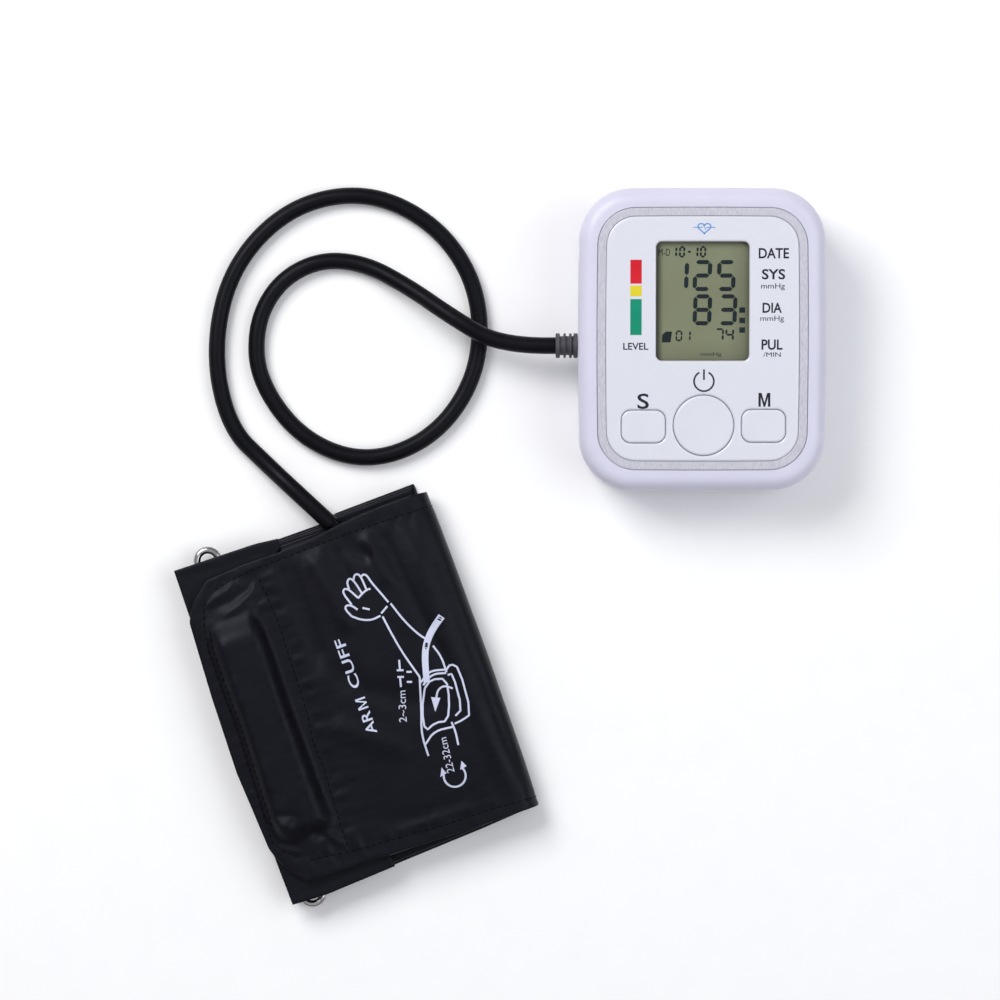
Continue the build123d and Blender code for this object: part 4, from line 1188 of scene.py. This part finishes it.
def band_line(share):
    """The lower turns' middle line: from the right fold along the bottom, round and back on top."""
    start_angle = radians(BAND_START)
    lead = (start_angle + pi / 2) * FOLD_RADIUS
    low_z = FOLD_Z - FOLD_RADIUS
    bend = BAND_HALF + BAND_GAP / 2
    flat = FOLD_U - BAND_FOLD_U
    ends = np.cumsum([lead, flat, pi * bend, flat + 2 * MM])
    s = share * ends[-1]
    angle = start_angle - np.minimum(s, lead) / FOLD_RADIUS
    turn = np.clip((s - ends[1]) / bend, 0, pi)
    zero = 0 * s

    def in_order(fold, bottom, left_bend, top):
        """One value for each stretch of the line."""
        return np.select([s < end for end in ends[:3]], [fold, bottom, left_bend], top)

    u = in_order(
        FOLD_U + FOLD_RADIUS * np.cos(angle), FOLD_U - (s - ends[0]),
        BAND_FOLD_U - bend * np.sin(turn), BAND_FOLD_U + (s - ends[2]),
    )
    z = in_order(
        FOLD_Z + FOLD_RADIUS * np.sin(angle), low_z + zero,
        low_z + bend * (1 - np.cos(turn)), low_z + 2 * bend,
    )
    normal_u = in_order(np.cos(angle), zero, -np.sin(turn), 0.0)
    normal_z = in_order(np.sin(angle), zero - 1, -np.cos(turn), 1.0)
    return u, z, normal_u, normal_z, s > ends[1] + pi * bend / 2


def make_band(cloth):
    """The band's two lower layers, joined by the fold at the left."""
    u, z, normal_u, normal_z, above = (values[:, None] for values in band_line(np.array(BAND_SHARES)))
    high = BAND_HIGH(u) - BAND_NARROWING[0] * above
    low = BAND_LOW(u) + BAND_NARROWING[1] * above
    w = low + (high - low) * np.array(BAND_ACROSS)
    u = np.repeat(u, len(BAND_ACROSS), axis=1)
    edge = np.minimum(w - low, high - w)
    hem_place, hem_depth = BAND_HEM
    waves = BAND_WAVE * (1 + smooth_noise(u + z * 20, w, 9 * MM, 2.0)) * (edge > 1 * MM)
    half = edge_profile(edge, BAND_HALF) - hem_depth * groove(edge - hem_place, HEM_WIDTH) - waves
    skins = [
        np.stack([u + normal_u * height, w, z + normal_z * height], axis=-1) for height in (half, -half)
    ]
    band = sheet("cuff_turns", *skins, cloth, "cuff", "cuff_nylon")
    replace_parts(band, "cuff_band")


def pocket_height(u, w):
    """Upper surface of the filled pocket."""
    left = POCKET_LEFT(w)
    across_u = np.clip((u - left) / (POCKET_RIGHT - left), 0, 1) * 2 - 1
    across_w = np.clip(w / POCKET_HALF_WIDTH, -1, 1)
    crown = np.maximum(1 - np.abs(across_u) ** 14, 0) * np.maximum(1 - np.abs(across_w) ** 18, 0)
    return (POCKET_HIGH - POCKET_MIDDLE) * np.sqrt(crown)


def make_pocket(cloth):
    """The pocket that holds the bladder: two sheets sewn together at their edges."""
    spread_u = np.sin(np.linspace(-pi / 2, pi / 2, 61)) * 0.5 + 0.5
    spread_w = np.sin(np.linspace(-pi / 2, pi / 2, 81))
    w = np.repeat((spread_w * POCKET_HALF_WIDTH)[None, :], len(spread_u), axis=0)
    left = POCKET_LEFT(w)
    u = left + (POCKET_RIGHT - left) * spread_u[:, None]
    height = pocket_height(u, w)
    full = height / (POCKET_HIGH - POCKET_MIDDLE)
    ripple = 0.22 * MM * smooth_noise(u, w, 7 * MM, 7.0) * (1 - full)
    ripple += 0.06 * MM * (smooth_noise(u, w, 12 * MM, 8.0) - 1)
    upper = np.stack([u, w, POCKET_MIDDLE + height + ripple * (full > 0)], axis=-1)
    lower = np.stack([u, w, POCKET_MIDDLE - height], axis=-1)
    pocket = sheet("bladder_pocket", upper, lower, cloth, "cuff", "cuff_nylon")


def make_margin(cloth):
    """The pocket's cloth where it runs out over the ring, with a hem round its edge."""
    columns = lines([MARGIN_LEFT, MARGIN_RIGHT], [MARGIN_COLUMNS])
    rows = lines([MARGIN_LOW, MARGIN_HIGH], [MARGIN_ROWS])
    u, w = curved_grid(columns, rows)
    edge = from_edge(u, w, columns, rows)
    half = edge_profile(edge, MARGIN_HALF)
    hem = MARGIN_HEM[1] * groove(edge - MARGIN_HEM[0], HEM_WIDTH)
    wave = 0.14 * MM * smooth_noise(u, w, 11 * MM, 31.0) * ramp(edge, 3 * MM)
    middle = np.maximum(MARGIN_LEVEL, POCKET_MIDDLE + pocket_height(u, w) - 0.05 * MM) + wave
    upper = np.stack([u, w, middle + half - hem], axis=-1)
    lower = np.stack([u, w, middle - half], axis=-1)
    margin = sheet("pocket_margin", upper, lower, cloth, "cuff", "cuff_nylon")


def tape(corners, surface, thickness, tuft):
    """Both skins of a strip of tape on a surface, with uneven tufts and soft edges."""
    (u0, w0), (u1, w1) = np.array(corners) * MM
    steps = [np.linspace(low, high, int((high - low) / TAPE_STEP)) for low, high in ((u0, u1), (w0, w1))]
    u, w = np.meshgrid(*steps, indexing="ij")
    edge = np.minimum.reduce([u - u0, u1 - u, w - w0, w1 - w])
    rise = np.clip(edge / TAPE_EDGE, 0, 1)
    tufts = tuft * smooth_noise(u, w, 1.3 * MM, 11.0)
    base = surface(u, w)
    far = base + np.sign(thickness) * (abs(thickness) * np.sqrt(rise) + tufts * rise)
    skins = [np.stack([u, w, height], axis=-1) for height in (far, base)]
    return skins if thickness > 0 else skins[::-1]


def make_tapes():
    """Loop tape on the pocket and hook tape under the flap."""
    loop_fuzz = pile("loop_pile", (0.007, 0.007, 0.010), (0.016, 0.016, 0.020), 0.5 * MM, 0.25 * MM)
    hook_stubble = pile("hook_pile", (0.012, 0.012, 0.014), (0.030, 0.030, 0.034), 0.28 * MM, 0.30 * MM)
    skins = tape(
        ((-24, -62), (40, 62)), lambda u, w: POCKET_MIDDLE + pocket_height(u, w) - 0.1 * MM,
        0.65 * MM, 0.08 * MM,
    )
    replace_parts(sheet("loop_tape", *skins, loop_fuzz, "cuff", "loop_pile"), "loop_panel")
    skins = tape(
        ((-51.5, -57.5), (-24.5, 57.5)), lambda u, w: np.full_like(u, FLAP_LOW + 0.5 * MM),
        HOOK_LOW - FLAP_LOW - 0.4 * MM, 0.04 * MM,
    )
    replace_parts(sheet("hook_tape", *skins, hook_stubble, "cuff_flap", "hook_tape"), "hook_patch")


def strap_profile():
    """The strap's outline across the ring's bar, as (x, z) pairs."""
    angles = [radians(-90 - 12 * k) for k in range(1, 16)]
    inside = STRAP_RADIUS - STRAP_WALL
    outer = [(STRAP_RADIUS * cos(a), STRAP_RADIUS * sin(a)) for a in angles]
    inner = [(inside * cos(a), inside * sin(a)) for a in reversed(angles)]
    return [
        (STRAP_TAIL, -STRAP_RADIUS), *outer, (STRAP_TAIL, STRAP_RADIUS),
        (STRAP_TAIL, STRAP_SLIT), *inner, (STRAP_TAIL, -STRAP_SLIT),
    ]


def make_ring_loop(cloth):
    """Cloth wrapped round the ring's inner bar, its two tails sewn together."""
    low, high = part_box("ring_loop")
    half = (high - low).y / 2 / cos(RING_TURN) - STRAP_END
    place = Matrix.Translation(RING_BODY_PLACE) @ Matrix.Rotation(RING_TURN, 4, "Z")
    rings = []
    for y in np.linspace(-half, half, 61):
        ring = []
        for x, z in strap_profile():
            pinch = 1 + 0.05 * noise.noise((x / (4 * MM), y / (6 * MM), z / (4 * MM)))
            ring.append(place @ Vector((x * pinch, y, z * pinch)))
        rings.append(ring)
    loop = smoothed(new_piece("ring_strap", *loft(rings), cloth, "cuff", "cuff_nylon"))
    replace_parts(loop, "ring_loop")


# --- Stitching and print on the flap ---------------------------------------
STITCH_PITCH = 2.9 * MM
STITCH_LENGTH = 2.0 * MM
STITCH_STEPS = 4            # straight runs in one stitch
THREAD = 0.34 * MM
THREAD_SIDES = 6
PRINT_LINE = 0.82           # width of the drawing's lines, in millimetres
PRINT_HEIGHT = 0.07 * MM    # how far the print lies above the cloth
PRINT_STEP = 1.2            # longest straight run of a printed line, in millimetres


def surface_tree(piece):
    """A lookup of a piece's surface, for laying things on it."""
    mesh = piece.data
    return BVHTree.FromPolygons([v.co for v in mesh.vertices], [list(f.vertices) for f in mesh.polygons])


def on_flap(tree, s, w, height):
    """A point above the flap's surface, where s runs along it and round its fold."""
    angle = pi / 2 - max(s - FOLD_U, 0) / FOLD_RADIUS
    outward = Vector((cos(angle), 0, sin(angle))) if s > FOLD_U else Vector((0, 0, 1))
    start = HINGE + outward * 30 * MM if s > FOLD_U else Vector((s, 0, 60 * MM))
    start.y = w
    outward = CUFF.to_3x3() @ outward
    hit = tree.ray_cast(CUFF @ start, -outward)[0]
    if hit is None:
        raise ValueError(f"nothing under {s:.4f}, {w:.4f}")
    return hit + outward * height


def thread_tube(centres, radius):
    """A closed tube through a few points, thin at both ends."""
    rings = []
    last = len(centres) - 1
    for index, centre in enumerate(centres):
        ahead = centres[min(index + 1, last)] - centres[max(index - 1, 0)]
        across = ahead.cross(Vector((0, 0, 1))).normalized()
        upward = across.cross(ahead).normalized()
        size = radius * (0.45 if index in (0, last) else 1.0)
        angles = [2 * pi * k / THREAD_SIDES for k in range(THREAD_SIDES)]
        rings.append([centre + across * cos(a) * size + upward * sin(a) * size for a in angles])
    return loft(rings)


def stitch_run(tree, s_line, w_line):
    """Stitches along a line on the flap."""
    marks = np.concatenate([[0], np.cumsum(np.hypot(np.diff(s_line), np.diff(w_line)))])
    stitches = []
    for number in range(int(marks[-1] / STITCH_PITCH)):
        start = (number + 0.2) * STITCH_PITCH
        centres = []
        for step in range(STITCH_STEPS + 1):
            at = start + STITCH_LENGTH * step / STITCH_STEPS
            height = THREAD * (0.35 - 0.5 * (step in (0, STITCH_STEPS)))
            s, w = (float(np.interp(at, marks, line)) for line in (s_line, w_line))
            centres.append(on_flap(tree, s, w, height))
        stitches.append(thread_tube(centres, THREAD / 2))
    return stitches


def make_stitching(flap):
    """The seams' stitches, laid on the flap."""
    tree = surface_tree(flap)
    along = np.linspace(-43 * MM, 68 * MM, 80)
    side = np.linspace(-56.5 * MM, 58 * MM, 60)
    second = np.linspace(-44 * MM, 46 * MM, 50)
    centre = np.linspace(-59.5 * MM, 61.5 * MM, 60)
    runs = [
        (along, SEAM_LOW(along)), (along, SEAM_HIGH(along)),
        (SEAM_LEFT(side), side), (SEAM_LEFT(second) + 2.0 * MM, second),
        (SEAM_MIDDLE(centre), centre),
    ]
    stitches = [stitch for run in runs for stitch in stitch_run(tree, *run)]
    return new_piece("flap_stitching", *joined(stitches), sewing_thread(), None, "cuff_nylon")


def printed_line(points, passes=0, width=PRINT_LINE, ends=None):
    """A drawn line in the cuff's frame, in millimetres, ready to lie on cloth."""
    return stroke(divided(rounded(points, passes), PRINT_STEP), width, ends)


ARM_LINES = [               # points, and how often their corners are cut
    ([(8.2, 31.2), (6.6, 34.8), (7.4, 36.4), (9.6, 35.6), (11.4, 33.0)], 3),
    ([(9.8, 35.8), (7.9, 41.6), (9.0, 43.2), (10.8, 42.2), (13.2, 37.6)], 3),
    ([(10.9, 42.2), (11.0, 45.4), (12.6, 46.6), (14.0, 45.0), (15.4, 38.9)], 3),
    ([(13.9, 45.2), (15.0, 47.2), (16.7, 47.0), (17.4, 45.0), (17.7, 39.9)], 3),
    ([(17.3, 45.4), (18.6, 46.2), (19.9, 45.2), (20.6, 42.0), (22.5, 37.2), (24.6, 31.6)], 3),
    ([(8.2, 31.2), (11.5, 28.4), (15.6, 26.9), (19.6, 27.4)], 2),
    ([(13.2, 37.4), (15.2, 38.6), (17.9, 39.6), (19.4, 39.4)], 1),
    ([(13.6, 33.0), (16.2, 31.4)], 0),
    ([(20.2, 28.2), (23.6, 30.2)], 0),
    ([(20.3, 26.8), (21.5, 18.0), (23.2, 9.0), (26.4, -2.2)], 2),
    ([(25.3, 30.8), (28.0, 22.5), (31.4, 15.5), (34.6, 11.2)], 2),
    ([(36.0, 8.2), (37.8, 2.5), (37.6, -4.2)], 2),
    ([(26.4, -2.2), (24.6, -8.0), (22.2, -16.0), (19.0, -25.0), (18.7, -34.6)], 2),
    ([(32.6, -24.5), (32.8, -29.0), (32.0, -34.5)], 1),
    ([(26.6, -6.0), (31.6, -2.8), (37.4, -4.4)], 2),
    ([(26.0, -4.6), (31.0, -1.2), (37.4, -2.9)], 2),
    ([
        (26.8, -7.4), (30.5, -4.8), (36.6, -6.6), (34.9, -15.5), (31.2, -23.6), (26.2, -22.4),
        (20.8, -24.6), (22.6, -15.5), (26.8, -7.4),
    ], 1),
    ([(37.6, -3.4), (40.4, -1.4), (43.2, -4.2), (41.6, -24.0), (36.9, -25.3), (33.6, -25.6)], 1),
    ([(37.7, -5.4), (39.9, -5.6), (38.6, -20.8), (35.0, -22.6)], 1),
    ([(19.2, -29.6), (24.5, -25.6), (32.8, -26.6)], 2),
    ([(37.8, -11.4), (34.8, -9.0), (31.6, -9.9), (29.8, -13.2)], 2),
]
ARM_POINTER = [(28.0, -11.8), (31.6, -13.4), (27.6, -18.2)]
ARM_HOSE = [(43.6, 18.6), (38.4, 15.0), (34.0, 10.5), (31.2, 5.0), (28.4, -5.4)]
ARM_HOSE_WIDTHS = (3.0, 2.6)
CUFF_WORDS = [              # text, middle, width, height, how much bolder, degrees turned
    ("AR", (-0.2, -13.1), 9.8, 4.3, 0.010, 90),
    ("CUFF", (-0.2, 13.2), 21.6, 4.3, 0.010, 90),
    ("2~3cm", (15.4, -11.4), 13.2, 3.2, 0.0, 73),
    ("22-32cm", (26.0, -36.9), 15.0, 3.2, 0.0, 84),
]
CUFF_TICKS = [
    [(17.6, -3.6), (18.6, 0.4)], [(19.6, 3.2), (20.7, 7.4)], [(18.3, 3.6), (21.0, 2.7)],
    [(17.6, 0.9), (20.2, 0.0)], [(21.9, 1.6), (24.0, 0.9)], [(20.6, -2.4), (22.7, -3.1)],
]
CUFF_ARROWS = [
    [(20.4, -44.6), (23.4, -44.0), (22.2, -41.0)],
    [(29.2, -44.6), (32.3, -44.0), (31.0, -41.2)],
]


def arm_pictogram():
    """A plain drawing of how the cuff is worn: hand, forearm, hose, wrapped cuff."""
    shapes = [printed_line(points, passes) for points, passes in ARM_LINES]
    return [*shapes, polygon(ARM_POINTER), printed_line(ARM_HOSE, 2, *ARM_HOSE_WIDTHS)]


def cuff_words():
    """Generic words and figures printed on the flap, reading up the picture, and the size arrows."""
    upright = radians(90)
    words = [fitted_text(*word, radians(turn)) for *word, turn in CUFF_WORDS]
    words[1:1] = letter_m((-0.2, -4.6), 4.9, 4.3, 0.75, upright)
    ticks = [printed_line(tick) for tick in CUFF_TICKS]
    ring = printed_line(arc_points((26.2, -46.2), 4.6, -205, 25, 20))
    return [*words, *ticks, ring, *map(polygon, CUFF_ARROWS)]


def print_on_flap(flap):
    """Lays the print on the filled cloth, just above its surface."""
    tree = surface_tree(flap)
    points, faces = joined(arm_pictogram() + cuff_words())
    laid = [on_flap(tree, x * MM, y * MM, PRINT_HEIGHT) for x, y in points]
    white = ink("cuff_print_ink", (0.50, 0.53, 0.68), (0.60, 0.63, 0.79))
    new_piece("cuff_print", laid, faces, white, "cuff_flap", "cuff_nylon", smooth=False)


def make_cuff():
    """All soft pieces of the cuff."""
    cloth = nylon()
    flap = make_flap(cloth)
    make_band(cloth)
    make_pocket(cloth)
    make_margin(cloth)
    make_tapes()
    make_ring_loop(cloth)
    stitching = make_stitching(flap)
    print_on_flap(flap)
    blend_flap(flap)
    blend_flap(stitching)


make_camera()
air_hose()
make_studio()
dress_cad_nodes()
unit_prints()
make_cuff()
